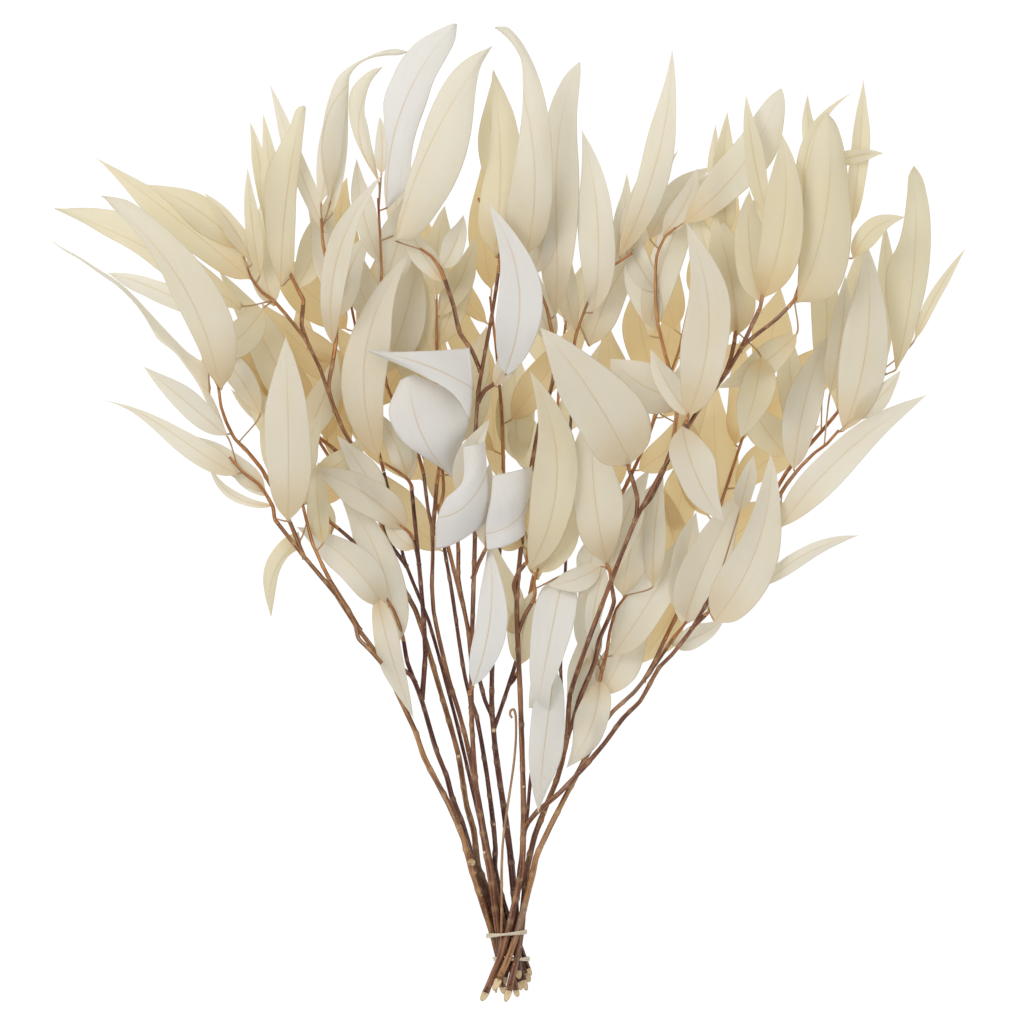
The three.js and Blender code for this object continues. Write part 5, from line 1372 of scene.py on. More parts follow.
SPRAYS = (
    Spray(1, "tip", Tone.FRONT,
          twig=((-142, 3, 95), (-147, 12, 97), (-151, 17, 98), (-160, 24, 100), (-168, 33, 101)),
          leaves=(Leaf(-133, -5, -134, 105, 30, -1, 22, up=8),
                  Leaf(-142, 4, -182, 32, 5.5, 9, -20), Leaf(-146, 10, -171, 30, 7, 1, -12),
                  Leaf(-147, 13, -193, 46, 14, -2, -6),
                  Leaf(-164, 23, -244, 67, 14, -3, 4, skew=1.5, outline=EARLY),
                  Leaf(-170, 46, -219, 87, 15, 0, 12))),
    Spray(1, "inner", Tone.FRONT,
          twig=((-140, 10, 87), (-149, 26, 88), (-158, 37, 90), (-165, 44, 93), (-170, 54, 95),
                (-173, 63, 97), (-175, 76, 99), (-182, 87, 99)),
          leaves=(Leaf(-171, 47, -217, 113, 11, -8, -8),
                  Leaf(-172, 74, -246, 190, 32, -11, 26, up=8, outline=TAPER),
                  Leaf(-186, 90, -273, 162, 9, 2, -6, roll=0.9),
                  Leaf(-185, 112, -240, 143, 14, -2, -16),
                  Leaf(-150, 60, -196, 116, 16, -4, -24))),
    Spray(1, "short", Tone.MIDDLE,
          twig=((-112, -33, 83), (-118, -20, 84), (-122, -6, 84), (-126, 10, 84), (-132, 26, 83)),
          leaves=(Leaf(-122, -20, -145, -62, 14, -9, -18, origin=(-122, -6)),
                  Leaf(-122, 6, -150, 52, 16, 3, -8), Leaf(-126, 18, -112, 60, 16, 3, -6),
                  Leaf(-133, 30, -160, 78, 16, -2, -4), Leaf(-112, -18, -115, 30, 14, 2, -4))),
    Spray(2, "tip", Tone.MIDDLE,
          twig=((-108, -6, 72), (-113, 4, 73), (-119, 16, 73), (-126, 30, 72), (-132, 44, 71)),
          leaves=(Leaf(-108, -14, -126, 22, 13, -2, -10), Leaf(-119, 20, -84, 48, 14, -3, -6),
                  Leaf(-127, 55, -175, 145, 22, -4, -6), Leaf(-132, 48, -162, 80, 13, 2, -8),
                  Leaf(-133, 46, -168, 74, 9, 2, -18), Leaf(-126, 42, -104, 96, 18, -3, -10))),
    Spray(2, "inner", Tone.FRONT,
          twig=((-66, -70, 46), (-70, -59, 51), (-77, -48, 57)),
          leaves=(Leaf(-80, -50, -58, -124, 15, -2, -6, up=4),
                  Leaf(-69, -80, -104, 14, 24, -9, 10, origin=(-66, -74)),
                  Leaf(-76, -57, -128, -9, 23, -6, 16, up=7))),
    Spray(2, "leafy", Tone.FRONT,
          twig=((-60, -13, 61), (-66, -8, 63), (-74, -2, 65)),
          leaves=(Leaf(-63, -10, -120, 26, 22, -5, 12),
                  Leaf(-58, -22, -76, -2, 11, 2, -4, origin=(-60, -13)),
                  Leaf(-76, 2, -104, 46, 16, -2, 6))),
    Spray(2, "upright", Tone.FRONT,
          twig=((-61, 19, 64), (-67, 24, 68), (-75, 29, 73)),
          leaves=(Leaf(-79, 33, -60, 155, 26, 17, 16, up=4), Leaf(-62, 22, -80, 60, 14, -2, 4),
                  Leaf(-60, 20, -58, 66, 12, 2, 0))),
    Spray(3, "low", Tone.BACK,
          twig=((-116, 46, 58), (-126, 53, 57), (-138, 62, 56)),
          leaves=(Leaf(-126, 56, -168, 110, 20, -3, -10), Leaf(-118, 50, -136, 104, 18, 3, -12),
                  Leaf(-110, 44, -100, 92, 16, 3, -6), Leaf(-139, 66, -188, 116, 16, -3, -6))),
    Spray(3, "middle", Tone.FRONT,
          twig=((-104, 104, 88), (-105, 122, 91), (-108, 142, 93), (-112, 160, 95),
                (-113, 176, 96)),
          leaves=(Leaf(-106, 101, -76, 202, 15, 12, 22, up=10),
                  Leaf(-108, 187, -62, 275, 15, 23, 8, skew=0.4),
                  Leaf(-113, 186, -104, 258, 12, -1, 4), Leaf(-106, 180, -96, 264, 11, 2, 0),
                  Leaf(-111, 168, -144, 257, 11, 1, -8), Leaf(-106, 128, -122, 190, 16, -3, -10),
                  Leaf(-104, 116, -84, 168, 18, 3, -8))),
    Spray(3, "high", Tone.MIDDLE,
          twig=((-127, 133, 90), (-132, 143, 92), (-140, 154, 94), (-144, 168, 95)),
          leaves=(Leaf(-139, 140, -121, 245, 20, 4, 8, outline=FULL),
                  Leaf(-143, 158, -148, 239, 11, -2, 2), Leaf(-147, 178, -156, 234, 9, -2, -2),
                  Leaf(-128, 134, -106, 196, 18, -3, -10),
                  Leaf(-142, 166, -133, 212, 12, -2, -8))),
    Spray(3, "tip", Tone.MIDDLE,
          twig=((-142, 127, 88), (-149, 132, 90), (-155, 140, 91), (-160, 152, 92)),
          leaves=(Leaf(-162, 122, -273, 182, 24, -5, -4),
                  Leaf(-156, 140, -249, 213, 22, -1, 6, outline=TAPER),
                  Leaf(-161, 158, -217, 196, 18, -4, 6), Leaf(-154, 150, -183, 191, 11, -2, 10),
                  Leaf(-150, 142, -157, 206, 10, 1, 14), Leaf(-142, 124, -150, 184, 20, 3, -8),
                  Leaf(-148, 122, -188, 88, 20, 4, -8, origin=(-142, 127)))),
    Spray(5, "tip", Tone.FRONT,
          twig=((-55, 34, 60), (-61, 48, 65), (-68, 62, 70), (-74, 76, 74), (-77, 94, 78),
                (-78, 118, 83), (-77, 146, 90), (-78, 170, 95), (-79, 188, 98)),
          leaves=(Leaf(-74, 183, -31, 292, 23, 9, 14, skew=0.5, outline=FULL, cool=True),
                  Leaf(-79, 198, -76, 266, 15, 14, 4, outline=TAPER),
                  Leaf(-77, 203, -78, 237, 10, -1, 0), Leaf(-76, 84, -56, 158, 24, -4, -10),
                  Leaf(-78, 112, -100, 178, 20, 5, -8), Leaf(-77, 134, -60, 194, 23, -2, -6),
                  Leaf(-78, 150, -92, 212, 14, 3, -4))),
    Spray(5, "front", Tone.FRONT,
          twig=((-43, 26, 64), (-41, 36, 69), (-37, 48, 74), (-32, 62, 78)),
          leaves=(Leaf(-39, 23, -53, 92, 38, 5, 14, outline=BROAD, up=10, cool=True),
                  Leaf(-18, 75, -84, 96.5, 30, -4, 10, outline=WEDGE, up=16, cool=True))),
    Spray(6, "left", Tone.FRONT,
          twig=((-31.5, -15, 76), (-33, -4, 80), (-32, 10, 83)),
          leaves=(
                  Leaf(-35, -18, -20, 45, 29, 1, 10, outline=BRACT, up=8, origin=(-31.5, -12), cool=True),
                  Leaf(-31, 12, -12, 56, 14, 2, -2))),
    Spray(6, "right", Tone.FRONT,
          twig=((-14, -17, 79), (-13, -7, 83)),
          leaves=(Leaf(-3, -20, 2, 25, 25, 0, 6, outline=STRIP, up=6, cool=True),
                  Leaf(-15, -20, -12, 30, 13, 1, 2))),
    Spray(7, "tip", Tone.MIDDLE,
          twig=((-40, 12, 54), (-42, 35, 58), (-44, 60, 63), (-44, 85, 67), (-44, 110, 70),
                (-44, 128, 73)),
          leaves=(Leaf(-44, 130, -39, 184, 18, 2, 2), Leaf(-42, 118, -20, 166, 15, -2, -4),
                  Leaf(-46, 66, -72, 138, 20, 4, -10), Leaf(-45, 56, -14, 112, 22, -5, -10),
                  Leaf(-45, 88, -58, 166, 22, 4, -8), Leaf(-44, 38, -12, 84, 18, -4, -6),
                  Leaf(-45, 100, -24, 160, 18, -3, -8))),
    Spray(6, "upper", Tone.FRONT,
          twig=((-42, 146, 99), (-47, 153, 101), (-54, 158, 102)),
          leaves=(Leaf(-57, 161, -9, 280, 25, 8.5, 12, up=4, skew=0.7),
                  Leaf(-41, 146, -28, 178, 14, -2, -4), Leaf(-40, 138, -64, 178, 14, 2, -6))),
    Spray(6, "front", Tone.FRONT,
          twig=((-5, 80, 100), (-2, 83, 102)),
          leaves=(Leaf(-4, 81, -13, 184, 25, -14, 14, up=6, cool=True),
                  Leaf(-9, 76, 4, 118, 14, -3, 0))),
    Spray(6, "tip", Tone.MIDDLE,
          twig=((-6, 152, 101), (-8, 163, 102), (-13, 176, 102), (-19, 188, 101)),
          leaves=(Leaf(-9, 153, -10, 265, 20, -3, 2), Leaf(-12, 196, -9, 264, 13, 1, -4),
                  Leaf(-7, 150, 14, 208, 16, -3, -6))),
    Spray(10, "tip", Tone.FRONT,
          twig=((25.5, 106, 92), (22, 122, 95), (16, 137, 98), (11, 148, 100)),
          leaves=(Leaf(10, 153, -8, 289, 23, -12.5, 16, up=4, skew=0.9),
                  Leaf(27, 118, 42, 270, 25, 7, -4, skew=1, outline=FULL),
                  Leaf(14, 142, 27, 206, 18, -2, -8), Leaf(26, 102, 14, 150, 16, 3, -8))),
    Spray(10, "low", Tone.MIDDLE,
          twig=((15, -50, 67), (14.5, -42, 70), (17, -34, 73)),
          leaves=(Leaf(12, -34, 11.5, 85, 26.5, -16.5, 26, up=6), Leaf(17, -36, 40, 12, 18, -4, 4),
                  Leaf(17, -40, 13, 8, 13, 2, -2),
                  Leaf(31, -40, 15.5, -120, 25, 0, -4, origin=(15, -46), up=3, outline=BRACT, cool=True),
                  Leaf(27, -95, 17, -181, 22, -1, -16, origin=(14, -52), up=-3, cool=True))),
    Spray(10, "loop", Tone.BACK,
          twig=((10, -27, 74), (12, -18, 76)),
          leaves=(Leaf(7, -20, -11, -6, 13, 2, -4), Leaf(13, -12, 14, 28, 10, 2, 0),
                  Leaf(9, -12, -7, 26, 14, 4, -8))),
    Spray(6, "mid", Tone.FRONT,
          twig=((-24, -108, 59), (-22, -105, 62)),
          leaves=(Leaf(-22, -104, -13, -18, 19, -6, 8, up=2, cool=True),)),
    Spray(8, "right", Tone.MIDDLE,
          twig=((14, -40, 34), (20, -15, 35), (24, 15, 36), (28, 50, 36), (30, 85, 36),
                (34, 118, 37)),
          leaves=(Leaf(20, -14, 46, 44, 20, -4, -6), Leaf(24, 20, 2, 72, 20, 4, -8),
                  Leaf(28, 48, 56, 104, 20, -4, -8), Leaf(30, 82, 12, 140, 20, 4, -6),
                  Leaf(34, 116, 28, 190, 18, 3, 4), Leaf(34, 110, 56, 168, 20, -3, -6))),
    Spray(8, "stub", Tone.MIDDLE,
          twig=((5, -94, 33), (6.5, -86, 34), (8, -78, 35)),
          leaves=(Leaf(6, -92, 15, -46, 18, 2, 2, origin=(5, -94)),
                  Leaf(7, -74, -10, -16, 20, 4, 2))),
    Spray(11, "tip", Tone.FRONT,
          twig=((39.5, 106, 84), (44, 118, 87), (50, 133, 91), (56, 141, 93), (61, 147, 95),
                (67, 151.5, 97), (73, 155, 99)),
          leaves=(Leaf(66, 154, 97, 277, 18, -7.5, 6), Leaf(50, 120, 43, 229, 22, -6, 4),
                  Leaf(39, 110, 28, 192, 15, 3, -8), Leaf(62, 150, 70, 203, 10, -2, -8),
                  Leaf(70, 156, 86, 213, 13, 2, -4),
                  Leaf(48, 100, 84, 170, 23, 4, -14, origin=(42, 112)),
                  Leaf(74, 158, 101, 217, 8, 3, -10))),
    Spray(12, "left", Tone.FRONT,
          twig=((70.5, 28, 113), (69, 32, 115)),
          leaves=(Leaf(72, 29, 18, 110, 41, -4, 12, outline=BROAD, up=3),
                  Leaf(72, 27, 44, 78, 20, 2, -12))),
    Spray(12, "right", Tone.FRONT,
          twig=((98, 48, 99), (100, 62, 99), (97, 80, 98), (92, 98, 97), (88, 116, 97),
                (87, 136, 98), (88, 154, 100), (93, 165, 104), (99, 170, 108)),
          leaves=(Leaf(101, 68, 60, 92, 33, 4, 4), Leaf(84, 106, 124, 207, 20, 9, -6),
                  Leaf(104, 173, 162, 253, 25, -8, 20, outline=FULL),
                  Leaf(88, 110, 74, 168, 18, 3, -4), Leaf(90, 60, 120, 110, 20, -4, -10),
                  Leaf(88, 132, 66, 178, 16, 3, -6), Leaf(92, 166, 112, 206, 14, -3, -4))),
    Spray(12, "crest", Tone.FRONT,
          twig=((106, 57, 121), (107, 60, 122)),
          leaves=(Leaf(106, 57, 105, 173, 28, -13, 12, up=2),
                  Leaf(103, 51, 128, -6, 25, -4, -8, origin=(106, 57)),
                  Leaf(107, 58, 84, 98, 14, 2, -8))),
    Spray(12, "back", Tone.MIDDLE,
          twig=((135, 109, 115), (134, 122, 113), (132, 138, 112), (130, 154, 112),
                (129, 168, 112)),
          leaves=(Leaf(136, 106, 121, 180, 27, -3, -2), Leaf(130, 166, 130, 239.5, 14, 2, 0),
                  Leaf(128, 172, 123, 232, 10, 2, -4), Leaf(134, 124, 112, 184, 18, 4, -8),
                  Leaf(133, 134, 150, 196, 18, -3, -8),
                  Leaf(150, 92, 138, 44, 22, 2, -10, origin=(135, 109)))),
    Spray(12, "tall", Tone.MIDDLE,
          twig=((150, 125, 132), (152, 138, 132), (153, 156, 132), (154, 172, 131)),
          leaves=(Leaf(151, 128, 162, 226, 27, -7, 4, up=3), Leaf(149, 126, 143, 192, 21, 3, -6),
                  Leaf(154, 176, 141, 249, 12, 2, 0))),
    Spray(12, "tip", Tone.MIDDLE,
          twig=((170, 127, 130), (173, 136, 129), (180, 150, 128), (190, 160, 127),
                (200, 167, 126)),
          leaves=(Leaf(171, 130, 188, 240, 34, -6, 10),
                  Leaf(173, 142, 204, 250, 11, 14, 12, skew=0.9),
                  Leaf(184, 196, 178, 250, 9, 2, -6), Leaf(204, 172, 211, 258, 12, -1, 4),
                  Leaf(191, 207, 223, 214, 9, 2, 6, origin=(190, 160)),
                  Leaf(205, 152, 236, 176, 13, 6, 4),
                  Leaf(171, 106, 124, 74, 17, 3, -22, origin=(170, 127), up=-6))),
    Spray(10, "outer", Tone.FRONT,
          twig=((166, 17, 91), (174, 27, 92), (182, 35, 94), (190, 41, 95), (197, 49, 96)),
          leaves=(Leaf(162, -9, 249.5, 70, 21, 7, 10), Leaf(200, 49, 212, 163, 27, -8, 14),
                  Leaf(192, 72, 201, 142, 16, -2, -4), Leaf(170, 26, 190, 106, 21, 3, -12),
                  Leaf(206, 56, 234, 85, 12, -2, 2))),
    Spray(10, "outback", Tone.MIDDLE,
          twig=((166, 24, 82), (178, 38, 81), (190, 52, 81), (200, 64, 82), (212, 76, 83),
                (226, 83, 84)),
          leaves=(Leaf(231, 86, 243, 207, 28, -2, 10), Leaf(243, 104, 273, 158, 7, 2, 4),
                  Leaf(205, 80, 212, 162, 18, 3, -6), Leaf(221, 84, 225, 174, 14, -2, -2),
                  Leaf(188, 86, 186, 158, 20, -3, -10, origin=(186, 50)),
                  Leaf(178, 44, 168, 110, 20, 4, -10), Leaf(166, 34, 142, 70, 20, 2, -10),
                  Leaf(196, 62, 176, 118, 16, 3, -8))),
    Spray(10, "outfront", Tone.FRONT,
          twig=((119, -60, 79), (120, -57, 80)),
          leaves=(Leaf(123, -65, 156, 35, 28, -10, 14, up=5, outline=BROAD),
                  Leaf(152, -44, 209, -14, 10, 5, 4, origin=(120, -57)),
                  Leaf(138, 2, 146, 34, 12, 0, 4, origin=(120, -57)))),
    Spray(13, "tip", Tone.FRONT,
          twig=((102, -71, 66), (106, -66, 69)),
          leaves=(Leaf(104, -68, 141, 15, 27, 3, 8, up=1), Leaf(107, -64, 112, 0, 22, 4, -8),
                  Leaf(98, -80, 129, -64, 13, -2, 0, origin=(99, -74), up=-4))),
    Spray(12, "inner", Tone.FRONT,
          twig=((60, -36, 75), (58, -31, 78)),
          leaves=(Leaf(58, -30, 50, 66, 30, 4, 16, up=4), Leaf(61, -38, 84, 26, 20, 4, 4),
                  Leaf(57, -34, 50, -84, 12, -3, -14), Leaf(54, -33, 23, -44, 15, 2, -6),
                  Leaf(51, -14, 41, -50, 16, 2, -8, origin=(58, -31)))),
    Spray(13, "thin", Tone.FRONT,
          twig=((55, -97, 52), (58, -85, 55), (60, -72, 58), (64, -58, 62), (70, -50, 64)),
          leaves=(Leaf(62, -86, 106, -12, 26, -2, 6),
                  Leaf(56, -110, 86, -56, 24, 1, -6, origin=(54.5, -99)),
                  Leaf(54, -101, 34, -154, 20, 5, -8, origin=(54.5, -99), up=2),
                  Leaf(51, -90, 46, -34, 16, 2, 0, origin=(56, -94)),
                  Leaf(68, -50, 90, 20, 24, 4, 2),
                  Leaf(86, -44, 92, 24, 13, 2, 4, origin=(70, -50)),
                  Leaf(51, -84, 34, -130, 15, 3, -10, origin=(55, -97)))),
    Spray(8, "left", Tone.BACK,
          twig=((-33, -38, 26), (-40, -10, 24), (-48, 20, 22), (-58, 52, 20), (-70, 84, 20),
                (-80, 112, 22)),
          fan=Fan(7, 72, 21)),
    Spray(8, "tip", Tone.BACK,
          twig=((-4, 30, 35), (-5, 60, 34), (-8, 95, 34), (-12, 130, 36)),
          fan=Fan(6, 76, 19)),
    Spray(4, "tip", Tone.BACK,
          twig=((-80, 40, 33), (-84, 66, 33), (-90, 96, 36), (-96, 126, 42)),
          fan=Fan(6, 72, 22)),
    Spray(4, "back", Tone.BACK,
          twig=((-94, 10, 17), (-106, 28, 13), (-120, 50, 11), (-134, 70, 13)),
          fan=Fan(5, 66, 22),
          leaves=(Leaf(-104, 30, -92, 92, 17, 3, 0, pressed=True, origin=(-100, 20)),)),
    Spray(11, "back", Tone.BACK,
          twig=((58, -6, 40), (70, 16, 36), (82, 42, 32), (92, 70, 30), (102, 98, 32),
                (108, 126, 38)),
          fan=Fan(8, 72, 24),
          leaves=(Leaf(90, 74, 106, 130, 17, 3, 0, pressed=True, origin=(84, 48)),)),
    Spray(13, "deep", Tone.BACK,
          twig=((100, -62, 46), (112, -38, 42), (122, -10, 38), (132, 20, 35), (142, 50, 34),
                (152, 80, 36)),
          fan=Fan(7, 66, 24)),
)

DRAWN = {
    (2, 0): Drawn(
        ((-171, 46), (-182, 66), (-187, 76.5), (-194, 86.5), (-201.5, 96), (-211, 103.5), (-217, 113)),
        ((-170, 48), (-178, 68), (-185, 79), (-192, 89), (-199, 99), (-208, 107), (-216.6, 113.4)),
        ((-171, 47), (-217, 113), 1.0), 0.0),
    (2, 1): Drawn(
        ((-173.4, 73.2), (-177.6, 78), (-182.4, 85.2), (-184.8, 93.6), (-190.8, 106.8), (-196.8, 118.8),
         (-202.8, 130.8), (-213.6, 152.4), (-226.8, 170.4), (-234, 177.6), (-243.6, 188.4)),
        ((-172.2, 74.4), (-166.8, 80.4), (-163.8, 90), (-163.2, 102), (-165.6, 114), (-170.4, 126),
         (-182.4, 145.2), (-200.4, 164.4), (-214.8, 176.4), (-229.2, 186), (-243.6, 188.6)),
        ((-173.4, 73.8), (-243.6, 188.6), -13.8), 3.0),
    (2, 2): Drawn(
        ((-181.2, 68.4), (-186, 78), (-193.2, 87.6), (-200.4, 97.2), (-210, 105), (-224.4, 124.8),
         (-234, 134.4), (-246, 142.8), (-258, 151.2), (-270, 158.6), (-274.8, 162.6)),
        ((-179, 74), (-182.4, 87.6), (-193.2, 96), (-205.2, 108), (-216, 119.4), (-228, 132),
         (-236.4, 139.2), (-246, 145.2), (-258, 153), (-270, 159.6), (-274.8, 162.8)),
        ((-180, 72), (-274, 162), 2.0), 0.0),
    (2, 3): Drawn(
        ((-189, 116.4), (-198, 120), (-210, 124.8), (-219.6, 129.6), (-229.2, 134.4), (-241.2, 143.4)),
        ((-189, 129.6), (-198, 134.4), (-211.2, 138.6), (-222, 141.8), (-231.6, 143.4), (-241.2, 143.6)),
        ((-189, 122), (-241, 143.5), -2.0), 1.0),
    (3, 0): Drawn(
        ((-126, -22), (-132, -25.8), (-136.5, -31.8), (-138.9, -37.8), (-140.4, -45.3), (-141.6, -52.8),
         (-143.4, -62.4)),
        ((-127, -12), (-135, -15.3), (-141, -21.3), (-146.4, -30.3), (-148.2, -37.8), (-147.6, -48.3),
         (-145.5, -57.3), (-144, -62.4)),
        ((-126, -17), (-143.7, -62.4), -7.5), 1.0),
    (9, 1): Drawn(
        ((-108, 187), (-112, 204), (-112.8, 224), (-109, 246), (-102, 261.6), (-97.2, 265.8),
         (-87.6, 271.2), (-78, 275.4), (-68.4, 277.2), (-60.6, 275.4)),
        ((-107.4, 187), (-102.6, 204), (-100.2, 222), (-98.4, 240), (-97.2, 254.4), (-96, 260.4),
         (-91.2, 267), (-84, 271.2), (-74.4, 273), (-65, 273.6), (-60.6, 275.2)),
        ((-108, 187), (-61, 275), 25.0), 2.0),
    (10, 0): Drawn(
        ((-138, 136), (-143.4, 151), (-147, 169), (-147.6, 187), (-145.5, 205), (-138, 220), (-132, 231),
         (-126, 243), (-123.6, 243.6)),
        ((-135.6, 136), (-130.8, 145), (-129, 163), (-128.4, 175), (-127.8, 193), (-126, 208),
         (-123.9, 226), (-122.1, 241.8)),
        ((-137, 136), (-124, 242), 3.0), 2.0),
    (11, 0): Drawn(
        ((-162, 121.2), (-174, 124.2), (-189, 132), (-208.2, 143.4), (-222, 153.6), (-231.6, 159.6),
         (-242.4, 165.6), (-252, 171.6), (-264, 177.6), (-273, 182)),
        ((-162, 127), (-171, 137.4), (-186, 150), (-201, 161.4), (-216, 172.2), (-225, 178.2),
         (-237.6, 180.8), (-248.4, 182.4), (-258, 183), (-266.4, 182.6), (-273, 182.2)),
        ((-163, 123), (-273, 182), -5.0), 2.0),
    (17, 0): Drawn(
        ((-68.4, 163), (-67.8, 172), (-64.5, 184), (-61.8, 198), (-57, 211), (-51, 231), (-45, 246),
         (-37.8, 259), (-30, 268), (-21, 274), (-10.8, 278.4)),
        ((-68.4, 162.6), (-60, 162), (-51, 169), (-42, 181), (-33, 196), (-27, 211), (-23.4, 226),
         (-21.6, 241), (-20.4, 253), (-18, 265), (-10.8, 278.4)),
        ((-68, 163), (-11, 278), 7.0), 3.0),
    (19, 0): Drawn(
        ((-9, 153), (-17.4, 165), (-19.2, 175.2), (-18, 187.2), (-16.2, 199.2), (-13.2, 211.2),
         (-12.6, 220.8), (-11.4, 232.8), (-11.4, 250), (-11, 260), (-10.2, 265.2)),
        ((-8.4, 153), (0, 160), (5, 176), (7.2, 196), (6.6, 216), (4.2, 230.4), (2.4, 237.6),
         (-2.4, 249.6), (-7.2, 259.2), (-10.2, 265)),
        ((-9, 153), (-10.2, 265), -4.0), 2.0),
    (20, 0): Drawn(
        ((10.2, 153.6), (0, 165), (-2.4, 175), (0, 196), (4.2, 217), (6.6, 235), (7.2, 256), (6, 271),
         (0, 281), (-9, 289.2)),
        ((10.2, 153.6), (18, 160), (24.6, 181), (25.2, 205), (23.4, 232), (19.2, 253), (12, 271),
         (4, 284), (-2, 289.6), (-9, 289.6)),
        ((10, 155), (-9, 289), -13.0), 3.0),
    (32, 0): Drawn(
        ((171, 125), (171.6, 139), (172.8, 154), (173.4, 169), (174.9, 184), (176.4, 199), (179.4, 214),
         (183.6, 229), (189, 238)),
        ((171, 125), (186, 125.1), (194.4, 130), (201, 145), (203.4, 160), (204, 175), (202.8, 193),
         (201, 208), (198, 223), (193.2, 234), (189, 238)),
        ((172, 126), (189, 238), -8.0), 3.0),
    (34, 0): Drawn(
        ((231, 86), (228, 109), (225, 136), (226.2, 148), (232.2, 160), (235.8, 175), (237.6, 190),
         (240, 205), (242, 207.6)),
        ((232.5, 86), (240, 100), (244.5, 115), (249, 133), (251.4, 151), (252, 169), (249.6, 190),
         (246, 202), (242, 207.6)),
        ((232, 87), (242, 207), -5.0), 3.0),
    (34, 7): Drawn(
        ((196, 62), (190.8, 78), (192, 98), (199, 116)),
        ((197, 62), (203.4, 78), (204.6, 98), (199.4, 116)),
        ((196, 62), (199, 116), 0.0), 1.0),
    (12, 0): Drawn(
        ((-74.4, 183), (-75, 199.2), (-74.4, 217.2), (-75.6, 232.8), (-75.6, 247.2), (-72, 256.8),
         (-64.8, 271.2), (-56.4, 280.8), (-44.4, 288), (-34.8, 292.2)),
        ((-72, 183), (-60.6, 197), (-59.4, 208.8), (-58.2, 219), (-54, 234), (-50.4, 243.6), (-45.6, 258),
         (-38.4, 271.2), (-33, 282), (-31.5, 291.8)),
        ((-73.8, 185.4), (-34, 290), 11.0), 2.0),
    (12, 1): Drawn(
        ((-79, 198), (-87, 211), (-94, 227), (-96.6, 241), (-94.8, 253.2), (-88.8, 260.4), (-81.6, 265.2),
         (-76.2, 266.4)),
        ((-78.4, 198), (-81, 211), (-83.4, 222), (-85.2, 231.6), (-87, 238.8), (-86.4, 247.2),
         (-82.8, 258), (-76.2, 266.2)),
        ((-79, 198), (-76.2, 266.2), 13.0), 2.0),
    (13, 0): Drawn(
        ((-37.8, 22.8), (-55.2, 34.2), (-66.6, 45), (-72.6, 60), (-66, 79.2)),
        ((-33, 23.4), (-28.8, 37.2), (-24, 55.2), (-33, 70.2), (-57, 82.8)),
        ((-38, 25), (-60, 80), 6.0), 5.0, lift=3.0),
    (13, 1): Drawn(
        ((-23.4, 55.2), (-33, 69.6), (-51, 81), (-84.6, 96)),
        ((-23.4, 98.4), (-48, 96.6), (-69, 96), (-84.6, 97.2)),
        ((-20, 72), (-84, 96), -4.0), 3.0),
    (14, 0): Drawn(
        ((-45, -24), (-43.8, -4.8), (-39, 7.2), (-29.4, 16.8), (-27.6, 39)),
        ((-13.8, -6.6), (-13.2, 7.2), (-13.8, 25.2), (-14.4, 42)),
        ((-36.6, -1.8), (-18, 15), -2.0), 5.0),
    (15, 0): Drawn(
        ((-13.2, -23.4), (-13.8, -6.6), (-11.4, 7.2), (-10.2, 21.6)),
        ((9.6, -14.4), (11.4, -0.6), (13.2, 13.2), (13.8, 27)),
        ((-9.6, -12), (13.2, 8.4), -3.0), 5.0),
}
DEEP_LEAVES = {
    12: (Leaf(-68, 168, -63, 232, 15, 2, -4, up=-10),),
    24: (Leaf(6, 30, 4, 100, 22, 2, -4, up=-2),),
    28: (Leaf(84, 164, 121, 207, 17, 5, -6, up=-10),),
    38: (Leaf(46, -74, 34, -112, 13, 2, -10, origin=(56, -90), up=-6),),
    40: (Leaf(-8, 22, -12, 88, 14, 0, -4, up=-3),),
    44: (Leaf(129, 2, 124, 80, 24, 3, -8), Leaf(98, -12, 106, 42, 20, -2, -6),
         Leaf(100, -54, 76, -92, 20, 3, -8, origin=(100, -62))),
}
SCARS = (
    Scar(2, -60.0, 0.9), Scar(3, -147.0, 1.1), Scar(1, -211.0, 2.3, 0.9), Scar(8, -131.0, 1.4, 0.1),
    Scar(11, -187.0, 0.8), Scar(12, -181.0, 0.9, 0.5), Scar(5, -158.0, 0.8, -0.3), Scar(6, -205.0, 1.0, -0.4),
    Scar(10, -165.0, 0.8), Scar(13, -142.0, 1.0, 0.3), Scar(7, -188.0, 0.8),
)


# Tie


WAYS_ROUND = 361
LOOP_POINTS = 181
CORD_SIDES = 18
CORDS_APART = 0.95
SWAP = 0.3
LAY_TURNS = 22.0
PLY_RELIEF = 0.2


